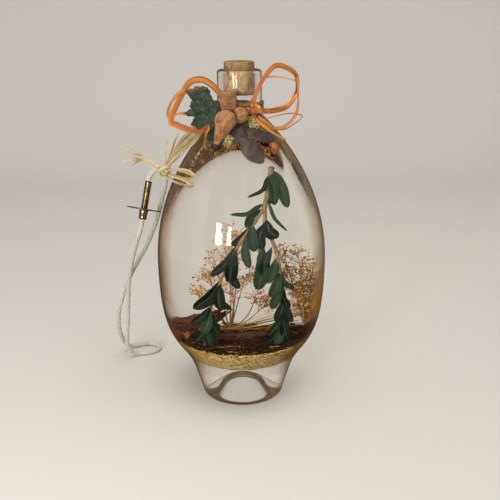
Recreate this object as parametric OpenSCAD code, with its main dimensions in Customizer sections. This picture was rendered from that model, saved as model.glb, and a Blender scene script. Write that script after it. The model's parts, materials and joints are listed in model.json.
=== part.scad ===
// Decorative lamp-oil bottle: an egg-shaped glass bottle on a heavy foot, with a cork, a dry
// arrangement sealed inside, a dressed neck, and a brass wick holder on its cotton wick tied to it.
// The origin is the middle of the foot where it stands, +Z is up and the dressed side faces -Y.

/* [Bottle] */
// Greatest outside diameter of the body
body_d = 134; // [131:0.5:137]
// Height of the widest part
belly_h = 116; // [110:1:122]
// Height at which the shoulder meets the neck
neck_base_h = 231; // [226:1:236]
// Height of the straight neck, to the rim
neck_len = 33; // [31:1:38]
// Outside diameter of the neck
neck_d = 33.6; // [32:0.2:36]
// Bore of the neck
bore_d = 23; // [21:0.5:24]
// Thickness of the glass in the body
wall = 4.5; // [3.5:0.25:6]
// Rounding of the rim's two edges
rim_round = 2; // [1:0.25:2.5]
// Diameter at the top of the foot
foot_top_d = 78; // [72:1:84]
// Height of the foot
foot_h = 20.5; // [17:0.5:24]
// Diameter of the foot where it stands
foot_d = 67; // [63:1:70]
// Diameter of the hollow under the foot
punt_d = 52; // [46:1:54]
// Height of the hollow under the foot
punt_h = 37; // [28:1:38]
// Lowest point of the inside above the table
floor_h = 43; // [42:0.5:46]

/* [Cork] */
// Length of the cork
cork_len = 24; // [18:1:26]
// How far the cork stands proud of the rim
cork_proud = 6; // [4:0.5:9]
// Chamfer at both ends of the cork
cork_chamfer = 0.8; // [0.4:0.1:1.5]

/* [Filling] */
// Depth of the sand at its middle
sand_depth = 14; // [12:0.5:16]
// Diameter of the branch's stem
stem_d = 3; // [2.2:0.2:3.6]
// Length of a leaf of the branch
sprig_leaf_len = 25; // [20:1:28]
// Width of a leaf of the branch
sprig_leaf_w = 10; // [7:0.5:12]
// Thickness of a leaf of the branch
sprig_leaf_t = 0.8; // [0.6:0.1:1.2]
// Diameter of a dried flower bud
bud_d = 2.6; // [2:0.2:3.2]
// Diameter of a dried flower's stalk
stalk_d = 0.8; // [0.6:0.1:1.2]
// Thickness of the pieces of bark
bark_t = 5; // [3:0.5:6]
// Diameter of a dried straw
straw_d = 1.4; // [1:0.1:1.8]

/* [Bow] */
// Thickness of the raffia wound round the neck
wrap_t = 2; // [1.4:0.2:2.2]
// Height of the winding
wrap_h = 9; // [7:0.5:9]
// Width of a bow ribbon
ribbon_w = 4; // [3:0.5:5]
// Thickness of a bow ribbon
ribbon_t = 1.6; // [1:0.1:2]
// Diameter of the bow's knot
bow_knot_d = 8.4; // [7:0.2:9]

/* [Pods and leaves] */
// Diameter of the ribbed pod's mouth
ribbed_pod_d = 13; // [11:0.5:13.5]
// Length of the ribbed pod
ribbed_pod_len = 15; // [13:0.5:16]
// Diameter of the teardrop gourd
gourd_d = 15; // [13:0.5:15.5]
// Length of the teardrop gourd
gourd_len = 26; // [24:0.5:28]
// Diameter of the round gourd
ball_d = 11.8; // [10:0.2:12]
// Thickness of the leaves on the neck
leaf_t = 1.2; // [0.8:0.1:1.6]
// Length of the vine leaf
vine_leaf_len = 30; // [26:1:32]

/* [Wick holder] */
// Diameter of the cotton wick
wick_d = 4; // [3.4:0.1:4.2]
// Running clearance of the wick in its tube
wick_gap = 0.15; // [0.1:0.05:0.3]
// Thickness of the brass tube's wall
tube_wall = 0.5; // [0.4:0.05:0.8]
// Length of the tube above the flange
tube_len = 21.5; // [18:0.5:23]
// Diameter of the flange
flange_d = 27.5; // [26:0.5:30]
// Thickness of the flange
flange_t = 1; // [0.8:0.1:1.4]
// Length of the ferrule under the flange
ferrule_len = 7.6; // [6:0.2:8]
// Wall of the ferrule at its upper end
ferrule_wall = 0.9; // [0.7:0.1:1.2]
// Diameter of the raffia knot
tie_knot_d = 11; // [10:0.5:12]
// Diameter of a raffia strand of the tie
strand_d = 1.6; // [1.2:0.1:1.8]
// Thickness of one run of the tie, a few bands laid on one another.
strand_t = 1.2; // [0.8:0.1:1.4]

/* [Hidden] */

// Clearances: between a fitted pair, between loose neighbours, and of a pressed pair's faces.
fit_gap = 0.05;
seat_gap = 0.3;
face_gap = 0.02;

rim_h = neck_base_h + neck_len;
body_r = body_d / 2;
neck_r = neck_d / 2;
bore_r = bore_d / 2;
sand_h = floor_h + sand_depth;
foot_heel = 2.5;
foot_land = 3;
knuckle = 1.25;
spray_turn = 137.5;
lower_steps = 14;
upper_steps = 16;
round_fn = 96;
small_fn = 32;

function bezier(p, t) =
    pow(1 - t, 3) * p[0] + 3 * pow(1 - t, 2) * t * p[1] + 3 * (1 - t) * t * t * p[2] + pow(t, 3) * p[3];
function slope(p, t) =
    3 * pow(1 - t, 2) * (p[1] - p[0]) + 6 * (1 - t) * t * (p[2] - p[1]) + 3 * t * t * (p[3] - p[2]);
function unit(v) = v / norm(v);
// A point of a curve moved inwards by the thickness of the glass.
function inset(p, t, by) = let (s = unit(slope(p, t))) bezier(p, t) + by * [-s[1], s[0]];

// The outline of the egg in two curves: foot to belly, and belly to neck.
lower_curve = [
    [foot_top_d / 2, foot_h], [foot_top_d / 2 + 10, foot_h + 35.5],
    [body_r, belly_h - 76], [body_r, belly_h]
];
upper_curve = [
    [body_r, belly_h], [body_r, belly_h + 61],
    [neck_r + 14, neck_base_h - 14], [neck_r, neck_base_h]
];
floor_edge = 7;
outer_lower = [for (i = [0 : lower_steps]) bezier(lower_curve, i / lower_steps)];
outer_upper = [for (i = [1 : upper_steps]) bezier(upper_curve, i / upper_steps)];
inner_lower = [for (i = [floor_edge : lower_steps]) inset(lower_curve, i / lower_steps, wall)];
inner_upper = [
    for (i = [1 : upper_steps])
    let (p = inset(upper_curve, i / upper_steps, wall)) [max(p[0], bore_r), p[1]]
];
rim_arc = [
    for (a = [0 : 22.5 : 90])
    [neck_r - rim_round * (1 - cos(a)), rim_h - rim_round * (1 - sin(a))]
];
rim_inner_arc = [
    for (a = [90 : -22.5 : 0])
    [bore_r + rim_round * (1 - cos(a)), rim_h - rim_round * (1 - sin(a))]
];
bowl_edge = inner_lower[0];
bowl = [
    for (i = [8 : -1 : 0])
    let (u = i / 8) [bowl_edge[0] * u, floor_h + (bowl_edge[1] - floor_h) * u * u]
];
punt = [
    for (i = [0 : 12])
    let (u = i / 12) [punt_d / 2 * u, punt_h * (1 + cos(180 * u)) / 2]
];
heel = [
    for (a = [-90 : 30 : 0])
    [foot_d / 2 - foot_heel * (1 - cos(a)), foot_heel * (1 + sin(a))]
];
outside_line = concat(heel, outer_lower, outer_upper);

// Outside radius of the glass at a height.
function glass_r(z) = lookup(z, [for (p = outside_line) [p[1], p[0]]]);
// Places round the neck: an angle from the front towards the right, a stand-off, a height.
function at_neck(a, off, h) =
    [(neck_r + off) * sin(a), -(neck_r + off) * cos(a), neck_base_h + h];
function at_shoulder(a, off, h) =
    let (r = glass_r(neck_base_h + h) + off) [r * sin(a), -r * cos(a), neck_base_h + h];
// How steeply the shoulder falls at a height below the neck.
function shoulder_tilt(h) =
    90 - atan2(3, glass_r(neck_base_h + h - 1.5) - glass_r(neck_base_h + h + 1.5));

module between(p, q, d) {
    v = q - p;
    translate(p)
        rotate([0, acos(v[2] / norm(v)), atan2(v[1], v[0])])
            cylinder(h = norm(v), d = d, $fn = small_fn);
}

// A twig: straight lengths whose ends stop inside slightly thicker knuckles.
module bent_rod(points, d, start = 0) {
    last = len(points) - 1;
    stop = d * 0.3;
    for (i = [0 : last - 1]) {
        v = unit(points[i + 1] - points[i]);
        between(points[i] + v * (i > 0 ? stop : start), points[i + 1] - v * (i < last - 1 ? stop : 0), d);
    }
    for (i = [1 : last - 1]) translate(points[i]) sphere(d = d * knuckle, $fn = small_fn);
}

// The outline of a pointed leaf, from its stalk at the origin up to its tip.
module leaf_outline(length, width) {
    r = (length * length + width * width) / (4 * width);
    translate([0, length / 2])
        intersection() {
            translate([r - width / 2, 0]) circle(r = r, $fn = round_fn);
            translate([width / 2 - r, 0]) circle(r = r, $fn = round_fn);
        }
}

// Smooth path through given points, and frames carried along it without twist.
function spline(p0, p1, p2, p3, t) =
    0.5 * (2 * p1 + (p2 - p0) * t + (2 * p0 - 5 * p1 + 4 * p2 - p3) * t * t
    + (3 * p1 - p0 - 3 * p2 + p3) * t * t * t);
function smooth(p, n) =
    let (last = len(p) - 1)
    [
        for (i = [0 : last - 1]) for (j = [0 : n - 1])
        spline(p[max(i - 1, 0)], p[i], p[i + 1], p[min(i + 2, last)], j / n),
        p[last]
    ];
function heading(p, i) = unit(p[min(i + 1, len(p) - 1)] - p[max(i - 1, 0)]);
function across(v, along) = unit(v - (v * along) * along);
function carried(p, side) = [
    for (i = 0, n = across(side, heading(p, 0)); i < len(p);
        i = i + 1, n = i < len(p) ? across(n, heading(p, i)) : n) n
];
function ring_points(p, section, side) =
    let (n = carried(p, side))
    [
        for (i = [0 : len(p) - 1]) for (s = section)
        p[i] + s[0] * n[i] + s[1] * cross(heading(p, i), n[i])
    ];

// A section swept along a path, closed at both ends.
module sweep(path, section, side) {
    k = len(section);
    last = len(path) - 1;
    polyhedron(
        ring_points(path, section, side),
        concat(
            [[for (j = [0 : k - 1]) j]],
            [for (i = [0 : last - 1]) for (j = [0 : k - 1])
                [(i + 1) * k + j, (i + 1) * k + (j + 1) % k, i * k + (j + 1) % k, i * k + j]],
            [[for (j = [k - 1 : -1 : 0]) last * k + j]]
        )
    );
}

function round_section(d, n) = [for (j = [0 : n - 1]) d / 2 * [cos(360 * j / n), sin(360 * j / n)]];
function flat_section(w, t) = [[w / 2, t / 2], [-w / 2, t / 2], [-w / 2, -t / 2], [w / 2, -t / 2]];

module ribbon(points, w) {
    sweep(smooth(points, 4), flat_section(w, ribbon_t), [0, 1, 0]);
}

module glass_bottle() {
    color("#cfe0da", 0.35)
        rotate_extrude($fn = round_fn)
            polygon(concat(
                punt, [[foot_d / 2 - foot_heel - foot_land, 0]], outside_line,
                rim_arc, rim_inner_arc,
                [for (i = [upper_steps - 1 : -1 : 0]) inner_upper[i]],
                [for (i = [len(inner_lower) - 1 : -1 : 0]) inner_lower[i]],
                [for (i = [1 : 8]) bowl[i]]
            ));
}

module cork_stopper() {
    r = bore_r - fit_gap;
    c = cork_chamfer;
    color("#a5825a")
        translate([0, 0, rim_h + cork_proud - cork_len])
            rotate_extrude($fn = round_fn)
                polygon([
                    [0, 0], [r - c, 0], [r, c], [r, cork_len - c], [r - c, cork_len], [0, cork_len]
                ]);
}

module sand_bed() {
    edge_r = bowl_edge[0] - seat_gap;
    color("#be9646")
        rotate_extrude($fn = round_fn)
            polygon(concat(
                [for (i = [8 : -1 : 0]) [min(bowl[i][0], edge_r), bowl[i][1] + seat_gap]],
                [[edge_r, max(sand_h, bowl_edge[1] + seat_gap)], [0, sand_h]]
            ));
}

// The branch stands on the sand upside down: its cut end is up and two limbs spread downwards.
branch_stem = [[18, -4, 129], [15.5, -4, 110], [13.5, -4.5, 100], [13.5, -5, 88], [10, -6, 68]];
left_limb = [[13.5, -4.5, 100], [8, -6.5, 90], [0, -9, 77], [-8, -12, 60], [-16, -15, 38], [-23, -18, 0.5]];
right_limb = [[13.5, -5, 88], [20, -7, 68], [23, -9, 48], [26, -12, 28], [24, -14, 0.5]];
limb_share = 0.7;

// One leaf: its stalk's end, how far it turns from hanging straight down, and its lean forwards.
module sprig_leaf(at, turn, lean, size) {
    translate(at)
        rotate([lean, turn, 0])
            rotate([90, 0, 0])
                linear_extrude(sprig_leaf_t, center = true)
                    rotate(180)
                        leaf_outline(sprig_leaf_len * size, sprig_leaf_w * size);
}

// Leaves in pairs down a limb, each turned out to one side of it.
module limb_leaves(limb, splay, size) {
    for (i = [1 : len(limb) - 2]) {
        v = limb[i + 1] - limb[i];
        turn = -atan2(v[0], -v[2]);
        sprig_leaf(limb[i], turn - splay, 8, size);
        if (i < len(limb) - 2) sprig_leaf((limb[i] + limb[i + 1]) / 2, turn + splay, -8, size);
    }
}

module leafy_branch() {
    color("#2b4432")
        translate([0, 0, sand_h]) {
            bent_rod(branch_stem, stem_d);
            bent_rod(left_limb, stem_d * limb_share, stem_d * 0.4);
            bent_rod(right_limb, stem_d * limb_share, stem_d * 0.4);
            limb_leaves(left_limb, 24, 1);
            limb_leaves(right_limb, 22, 0.95);
            sprig_leaf(branch_stem[0] - [0.5, 0, 4], -20, 6, 1.1);
            sprig_leaf(branch_stem[0] - [1, 0, 8], 30, -7, 0.7);
            sprig_leaf(branch_stem[2] + [0.3, 0, 1], 55, 9, 0.8);
            sprig_leaf(branch_stem[2] - [0, 0, 4], -27, -5, 0.7);
            sprig_leaf(branch_stem[3] - [0, 0, 1], -14, 10, 0.9);
            sprig_leaf(branch_stem[4] + [0.2, 0, 4], 8, 12, 0.9);
        }
}

// A spray of dried flowers: one upright stem with side stalks that each end in a round bud.
module flower_spray(foot, top, start, spread, rise, buds) {
    stem = top - foot;
    between(foot, top, stalk_d * 2);
    translate(top) sphere(d = bud_d * 1.2, $fn = small_fn);
    for (i = [0 : buds - 1]) {
        along = start + (1 - start) * (i + 0.5) / (buds + 1);
        base = foot + stem * along;
        reach = spread * (1 - 0.55 * along);
        tip = base + [reach * cos(spray_turn * i), reach * 0.45 * sin(spray_turn * i), rise];
        between(base, tip, stalk_d);
        translate(tip) sphere(d = bud_d, $fn = small_fn);
    }
}

module dried_flowers_left() {
    color("#b4823c")
        translate([0, 0, sand_h])
            flower_spray([-10, 26, seat_gap], [-13, 22, 88], 0.3, 24, 9, 14);
}

module dried_flowers_right() {
    color("#b8742c")
        translate([0, 0, sand_h])
            flower_spray([30, 16, seat_gap], [32, 16, 72], 0.35, 20, 8, 16);
}

// Straws that lie over the slab of bark and run up to the right.
straws = [
    [[-20, -2, 7.6], [24, -1, 19]], [[-18, 1, 7.8], [28, 3, 21]], [[-16, 4, 7.6], [32, 7, 19]],
    [[-13, 7, 7.6], [37, 11, 15]]
];
module dried_straws() {
    color("#a08040")
        translate([0, 0, sand_h])
            for (s = straws) between(s[0], s[1], straw_d);
}

module bark(outline, t) {
    rotate([90, 0, 0]) linear_extrude(t, center = true) polygon(outline);
}

module bark_slab() {
    color("#4a2420")
        translate([-1, 2, sand_h + seat_gap])
            rotate([0, 0, 6])
                linear_extrude(bark_t + 1)
                    polygon([[-20, -5], [-8, -7], [8, -6], [21, -3], [20, 5], [6, 8], [-10, 6], [-19, 4]]);
}

module bark_wedge() {
    color("#5a2822")
        translate([0, 14, sand_h + seat_gap])
            rotate([0, 0, -4])
                bark([[-41, 0], [-26, 0], [-14, 9], [-3, 24], [-6, 28], [-22, 20], [-38, 14]], bark_t);
}

module bark_right() {
    color("#6a3020")
        translate([0, -2, sand_h + seat_gap])
            rotate([0, 0, 8])
                bark([[31, 0], [41, 0], [45, 9], [38, 12], [30, 6]], bark_t);
}

module orange_petals() {
    color("#c8722a")
        for (p = [[-37, -12, 10], [-33, -16, -20], [-40, -6, 35]])
            translate([p[0], p[1], sand_h + seat_gap])
                rotate([0, 0, p[2]])
                    linear_extrude(4)
                        leaf_outline(8, 5);
}

// The neck's dressing. Each piece seats on the winding, on the glass or on its neighbour.
wrap_r = neck_r + seat_gap + wrap_t;
wrap_z = neck_base_h + 1;
module neck_winding() {
    turns = 3;
    turn_h = wrap_h / turns;
    color("#c07028")
        rotate_extrude($fn = round_fn)
            difference() {
                union() {
                    translate([neck_r + seat_gap, wrap_z]) square([wrap_t * 0.7, wrap_h]);
                    for (i = [0 : turns - 1])
                        translate([neck_r + seat_gap + wrap_t - turn_h / 2, wrap_z + turn_h * (i + 0.5)])
                            circle(d = turn_h, $fn = small_fn);
                }
                translate([0, wrap_z - wrap_h]) square([neck_r + seat_gap, wrap_h * 3]);
            }
}

// The bow's strands: each point is out from the neck's side, forwards or back, and up from its base.
bow_left_loop = [
    [-5.3, -14.8, 10.8], [-3.8, -15.3, 16], [-0.3, -16, 21], [4.7, -17, 25.5], [11.2, -16.5, 27.8],
    [21.8, -14, 25.8], [29.6, -10, 14.5], [37.4, -8, -2], [32.2, -9.5, -5], [25, -11, -8],
    [19.2, -12, -9.5], [12.2, -12, -9.5], [7.2, -12, -7.5], [2.5, -12, -2.5]
];
bow_left_thin = [[26, -12.5, 20.5], [33, -11, 16], [38, -10, 9], [40.5, -8, 2], [37.6, -8, -1.5]];
bow_right_loop = [
    [-7.8, -20, 10.5], [-5.8, -21, 16], [-0.8, -18, 27], [8.2, -14, 37], [17.2, -10, 36],
    [25.7, -8, 29], [25.2, -8, 16], [19.2, -12, 7.5], [11.2, -15, 5], [3.2, -18, 4.5], [-0.8, -20, 4.5]
];
bow_right_thin = [
    [29.2, -8, 27], [29.7, -8, 14], [26.2, -10, 0], [17.2, -14, -8], [7.2, -19, -8], [1, -22, -3],
    [-2.9, -22.2, 1.5]
];
bow_cross = [[0, -17.5, 28.5], [11.2, -12.5, 28.5], [26, -8, 25]];
bow_tail = [[-5.3, -23.7, 1.2], [-0.5, -26, -4], [7.2, -25, -10.5], [17.2, -22, -16]];
function bow_path(p, side) = [for (q = p) [side * (neck_r + q[0]), q[1], neck_base_h + q[2]]];

module bow_left() {
    color("#c4702a") {
        ribbon(bow_path(bow_left_loop, -1), ribbon_w);
        ribbon(bow_path(bow_left_thin, -1), ribbon_w * 0.4);
    }
}

module bow_right() {
    color("#c4702a") {
        ribbon(bow_path(bow_right_loop, 1), ribbon_w);
        ribbon(bow_path(bow_right_thin, 1), ribbon_w * 0.5);
        ribbon(bow_path(bow_cross, 1), ribbon_w * 0.4);
        ribbon(bow_path(bow_tail, 1), ribbon_w * 0.5);
    }
}

module bow_knot() {
    color("#b86424")
        translate(at_neck(27, wrap_t + 2 * seat_gap + bow_knot_d / 2, 5.5))
            rotate([0, 0, 27])
                intersection() {
                    sphere(d = bow_knot_d, $fn = round_fn);
                    cube([bow_knot_d, bow_knot_d, bow_knot_d * 0.9], center = true);
                }
}

// A cupped leaf that faces -Y: a piece of a hollow ball cut to the leaf's outline.
module cupped(ball_r, t) {
    translate([0, ball_r, 0])
        intersection() {
            difference() {
                sphere(r = ball_r, $fn = round_fn);
                sphere(r = ball_r - t, $fn = round_fn);
            }
            translate([0, -ball_r / 2, 0])
                rotate([90, 0, 0])
                    linear_extrude(ball_r, center = true) children();
        }
}

vine_half = [[0, 0], [3, 3], [9, 1], [8, 6], [14, 8], [10.5, 12], [13, 17], [8, 17], [8, 22], [4.5, 21]];
module vine_outline(scale_by) {
    tip = [0, 30];
    scale(scale_by)
        polygon(concat(
            vine_half, [tip], [for (i = [len(vine_half) - 1 : -1 : 1]) [-vine_half[i][0], vine_half[i][1]]]
        ));
}

module vine_leaf() {
    color("#3e5348")
        translate([-6.5 - neck_r, -26, neck_base_h - 4])
            rotate([-2, -38, -12])
                cupped(110, leaf_t) vine_outline(vine_leaf_len / 30);
}

module small_vine_leaf() {
    color("#3e5348")
        translate(at_shoulder(-38, 2.4, -7))
            rotate([0, 0, -38])
                rotate([-shoulder_tilt(-10) - 8, 0, 0])
                    rotate([0, 160, 0])
                        cupped(40, leaf_t) vine_outline(0.45);
}

module ribbed_pod() {
    r = ribbed_pod_d / 2;
    h = ribbed_pod_len;
    color("#a87048")
        translate(at_neck(-22, wrap_t + seat_gap + r, 21.5 - h))
            rotate_extrude($fn = round_fn)
                difference() {
                    polygon([
                        [0, 0], [r * 0.55, 0], [r * 0.82, h * 0.12], [r * 0.95, h * 0.4],
                        [r, h * 0.75], [r * 0.94, h * 0.95], [r * 0.8, h], [0, h * 0.9]
                    ]);
                    for (i = [1 : 5])
                        translate([r * 1.06, h * i / 6]) circle(r = 0.7, $fn = small_fn);
                }
}

gourd_r = gourd_d / 2;
gourd_angle = -20;
gourd_top = at_neck(gourd_angle, wrap_t + 2 * seat_gap + gourd_r + 8.1, 1.5);
gourd_lean = 17;
gourd_neck_r = 1.9;
gourd_tail = gourd_len - gourd_r;
module along_gourd() {
    translate(gourd_top) rotate([30 - shoulder_tilt(-11.8), gourd_lean, 0]) children();
}

module teardrop_gourd() {
    color("#a86c44")
        along_gourd()
            rotate_extrude($fn = round_fn)
                polygon(concat(
                    [for (a = [90 : -10 : -20]) gourd_r * [cos(a), sin(a)]],
                    [
                        [gourd_r * 0.76, -gourd_r * 0.75], [gourd_r * 0.5, -gourd_tail * 0.66],
                        [gourd_neck_r + 0.5, -gourd_tail * 0.86], [gourd_neck_r, -gourd_tail],
                        [0, -gourd_tail]
                    ]
                ));
}

module gourd_cap() {
    cap_r = gourd_neck_r + 0.9;
    color("#2c4038")
        along_gourd()
            translate([0, 0, -gourd_tail - face_gap])
                rotate_extrude($fn = small_fn)
                    polygon([
                        [0, 0], [cap_r, 0], [cap_r * 1.15, -1.5], [cap_r, -3.2], [0.7, -4], [0.5, -7],
                        [0, -7]
                    ]);
}

module round_gourd() {
    color("#a86c44")
        translate(at_neck(1, wrap_t + 2 * seat_gap + ball_d / 2, 2.8))
            sphere(d = ball_d, $fn = round_fn);
}

// A smooth oval leaf that lies on the shoulder and points down it.
module plum_leaf(a, off, h, turn, length, width) {
    color("#4c3c3e")
        translate(at_shoulder(a, off, h))
            rotate([0, 0, a])
                rotate([-shoulder_tilt(h), 0, 0])
                    rotate([0, turn, 0])
                        translate([0, 0, -length / 2])
                            cupped(90, leaf_t) leaf_outline(length, width);
}

module plum_leaf_left() {
    plum_leaf(-2, 4.4, -12, 195, 20, 13);
}

module plum_leaf_right() {
    plum_leaf(30, 4.6, -12, 118, 24, 12);
}

module plum_leaf_front() {
    plum_leaf(12, 5.3, -21.5, 150, 25, 15);
}

module moss(a, off, h, d) {
    color("#b4aa6e")
        translate(at_shoulder(a, off + d / 2, h))
            intersection_for(t = [0, 60, 120])
                rotate([t, 30, t]) cube(d * 0.9, center = true);
}

module moss_left() {
    moss(-18, 1.6, -15, 5);
}

module moss_right() {
    moss(20, 2, -3.5, 6);
}

module orange_bud() {
    color("#b46030")
        translate(at_shoulder(40, 3.6, -21.5))
            rotate([0, 0, 40])
                rotate([-shoulder_tilt(-21.5), 0, 0])
                    rotate_extrude($fn = small_fn)
                        polygon([[0, -4], [2, -3.4], [2.6, -1], [2.4, 2], [1.4, 4], [0, 4.2]]);
}

// The wick holder's body hangs by two strands of its tie from the front of the winding's left side.
tie_centre = [-57, -12, 190];
tie_knot_r = tie_knot_d / 2;
tie_angle = -67;
tie_top = at_neck(tie_angle, wrap_t + 2 * seat_gap + strand_d / 2, -1);

module strand(points, w, side) {
    sweep(smooth(points, 4), flat_section(w, strand_t), side);
}

module tie_strands() {
    color("#dcc896") {
        strand([tie_top + [0, 0, 1], [-31, -7.5, 223], [-42, -8.5, 213], [-51, -10, 200.5],
            [-54.5, -11, 194.5]], strand_d, [0, 1, 0]);
        strand([tie_top + [-0.5, -0.5, -1.8], [-33, -8, 215.5], [-45, -10.5, 204.5], [-54, -13, 194]],
            strand_d, [0, 1, 0]);
    }
}

module tie_knot() {
    color("#d8c490")
        translate(tie_centre)
            intersection() {
                sphere(r = tie_knot_r, $fn = round_fn);
                rotate([20, 35, 0]) cube([tie_knot_d, tie_knot_d * 0.8, tie_knot_d], center = true);
            }
}

tie_loop_points = [
    [[-54, -15.5, 191.5], [-46, -27, 193], [-37, -37.5, 192], [-33, -41.5, 189.5], [-37, -38, 187.5],
        [-46, -28, 187.8], [-54, -16, 188.5]],
    [[-54.5, -16, 187.5], [-47, -27, 185.5], [-40, -37.5, 183], [-36.5, -42, 180], [-40.5, -38, 178.5],
        [-48, -27, 181.5], [-55.5, -15.5, 186]]
];
module tie_loops() {
    color("#e0cc9c")
        for (p = tie_loop_points) strand(p, strand_d * 1.2, [0.75, 0.65, 0]);
}

tie_end_points = [
    [[-61.5, -11, 193], [-70, -8, 198], [-80, -4, 204], [-92, 0, 207.5]],
    [[-61.5, -10, 191], [-72, -6, 196.5], [-80, -3, 197.5], [-92, 0, 196]]
];
module tie_ends() {
    color("#e0cc9c")
        for (p = tie_end_points) strand(p, strand_d, [0, 1, 0]);
}

// The brass holder is threaded on the wick, and its foot is the ferrule's lower end.
holder_foot = [-77.3, -6, 150.5];
holder_tilt = [-15.3, 10.7];
tube_bore_r = wick_d / 2 + wick_gap;
tube_r = tube_bore_r + tube_wall;
module on_holder() {
    translate(holder_foot) rotate([holder_tilt[0], holder_tilt[1], 0]) children();
}

module wick_tube() {
    color("#8a7444")
        on_holder()
            difference() {
                cylinder(h = ferrule_len + flange_t + tube_len, r = tube_r, $fn = round_fn);
                translate([0, 0, -1])
                    cylinder(h = ferrule_len + flange_t + tube_len + 2, r = tube_bore_r, $fn = round_fn);
            }
}

module wick_flange() {
    color("#8a7444")
        on_holder()
            translate([0, 0, ferrule_len + face_gap])
                difference() {
                    cylinder(h = flange_t, d = flange_d, $fn = round_fn);
                    translate([0, 0, -1]) cylinder(h = flange_t + 2, r = tube_r + face_gap, $fn = round_fn);
                }
}

module wick_ferrule() {
    color("#8a7444")
        on_holder()
            difference() {
                cylinder(
                    h = ferrule_len, r1 = tube_r + ferrule_wall * 0.5, r2 = tube_r + ferrule_wall,
                    $fn = round_fn
                );
                translate([0, 0, -1])
                    cylinder(h = ferrule_len + 2, r = tube_r + face_gap, $fn = round_fn);
            }
}

// The wick's route: out of the knot, down behind the flange to the table, round one flat loop,
// up again, through the brass tube and back into the knot.
wick_route = [
    [-57, -8, 187], [-58.5, -2, 178], [-61.5, 4, 168], [-65, 10, 156], [-70, 16.5, 141],
    [-80, 25, 118], [-86, 28.5, 107.5], [-97.5, 35.5, 87], [-102.5, 39, 76], [-110, 44.5, 52],
    [-111.5, 48, 40], [-112, 52.5, 29], [-111.5, 59, 19], [-110.5, 66.5, 10.5], [-107.5, 73, 4.5],
    [-102.5, 77.5, 2.5], [-96.5, 80.5, 2.3], [-89.5, 82, 2.3], [-82.5, 79, 2.3], [-79.5, 72.5, 2.3],
    [-82, 66, 2.3], [-88.5, 62.5, 2.3], [-96.5, 60.5, 2.3], [-102, 56.5, 5], [-105, 52.5, 12],
    [-105.5, 50, 21], [-102.5, 45, 46], [-101, 41, 60], [-97, 30, 86], [-94, 23.5, 98],
    [-91, 16, 109], [-87.5, 7.5, 120], [-83.5, 0, 131], [-79.5, -6, 141.5], [-77.3, -6, 150.5],
    [-75.3, -3.1, 161], [-71.8, 2.2, 180], [-68.5, 1, 186], [-64, -3, 190], [-58.5, -8.5, 192]
];
module cotton_wick() {
    color("#dcdcc8")
        sweep(smooth(wick_route, 2), round_section(wick_d, 8), [1, 0, 0]);
}

glass_bottle();
cork_stopper();
sand_bed();
leafy_branch();
dried_flowers_left();
dried_flowers_right();
dried_straws();
bark_slab();
bark_wedge();
bark_right();
orange_petals();
neck_winding();
bow_left();
bow_right();
bow_knot();
vine_leaf();
small_vine_leaf();
ribbed_pod();
teardrop_gourd();
gourd_cap();
round_gourd();
plum_leaf_left();
plum_leaf_right();
plum_leaf_front();
moss_left();
moss_right();
orange_bud();
tie_strands();
tie_knot();
tie_loops();
tie_ends();
wick_tube();
wick_flange();
wick_ferrule();
cotton_wick();
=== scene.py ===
# %% [markdown]
# # A botanical oil lamp bottle
# This lesson builds the looks of a clear glass lamp bottle: an egg-shaped body full of clear oil, a sand bed,
# a leafy branch, dried flowers and bark inside, raffia, leaves and pods round its neck, and a brass wick holder.
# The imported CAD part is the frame. Each visual piece stands in the place of one CAD node and moves with its body.

# %% Load the frame
import json
import math
import random

import bpy
import numpy as np
from mathutils import Matrix, Vector, noise

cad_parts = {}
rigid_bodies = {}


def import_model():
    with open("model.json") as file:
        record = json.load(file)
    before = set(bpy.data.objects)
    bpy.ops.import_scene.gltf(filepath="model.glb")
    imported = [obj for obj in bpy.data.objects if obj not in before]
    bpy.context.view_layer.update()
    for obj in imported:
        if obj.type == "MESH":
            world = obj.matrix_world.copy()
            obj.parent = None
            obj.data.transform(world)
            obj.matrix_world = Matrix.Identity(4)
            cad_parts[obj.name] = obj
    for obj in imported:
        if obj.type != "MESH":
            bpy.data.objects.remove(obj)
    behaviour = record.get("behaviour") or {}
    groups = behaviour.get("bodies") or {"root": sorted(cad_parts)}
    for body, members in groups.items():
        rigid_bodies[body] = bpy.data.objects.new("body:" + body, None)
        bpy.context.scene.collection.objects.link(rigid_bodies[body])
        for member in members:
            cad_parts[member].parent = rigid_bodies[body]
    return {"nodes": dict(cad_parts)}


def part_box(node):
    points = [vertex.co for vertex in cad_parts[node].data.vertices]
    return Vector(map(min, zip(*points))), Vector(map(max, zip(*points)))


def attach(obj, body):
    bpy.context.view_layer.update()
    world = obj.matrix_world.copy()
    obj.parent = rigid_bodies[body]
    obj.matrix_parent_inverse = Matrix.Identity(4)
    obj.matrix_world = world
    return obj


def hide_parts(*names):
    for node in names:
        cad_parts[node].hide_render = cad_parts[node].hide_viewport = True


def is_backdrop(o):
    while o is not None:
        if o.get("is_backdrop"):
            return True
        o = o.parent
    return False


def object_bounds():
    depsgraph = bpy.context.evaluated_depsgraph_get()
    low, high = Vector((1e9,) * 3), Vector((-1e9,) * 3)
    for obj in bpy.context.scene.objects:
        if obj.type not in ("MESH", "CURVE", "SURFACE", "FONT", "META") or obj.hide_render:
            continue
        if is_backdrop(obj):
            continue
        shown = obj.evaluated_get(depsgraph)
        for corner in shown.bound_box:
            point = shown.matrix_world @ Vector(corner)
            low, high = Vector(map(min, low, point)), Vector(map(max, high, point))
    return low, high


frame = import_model()
cad_low, cad_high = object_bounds()
print("frame:", len(frame["nodes"]), "nodes,", [round(v, 4) for v in cad_high - cad_low], "m")

# %% [markdown]
# ## The camera
# The object is seen from a little above, at arm's length, with its bow and pods to the front.
# The camera sits in front of the bottle, tilts down and rolls less than a degree.

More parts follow.
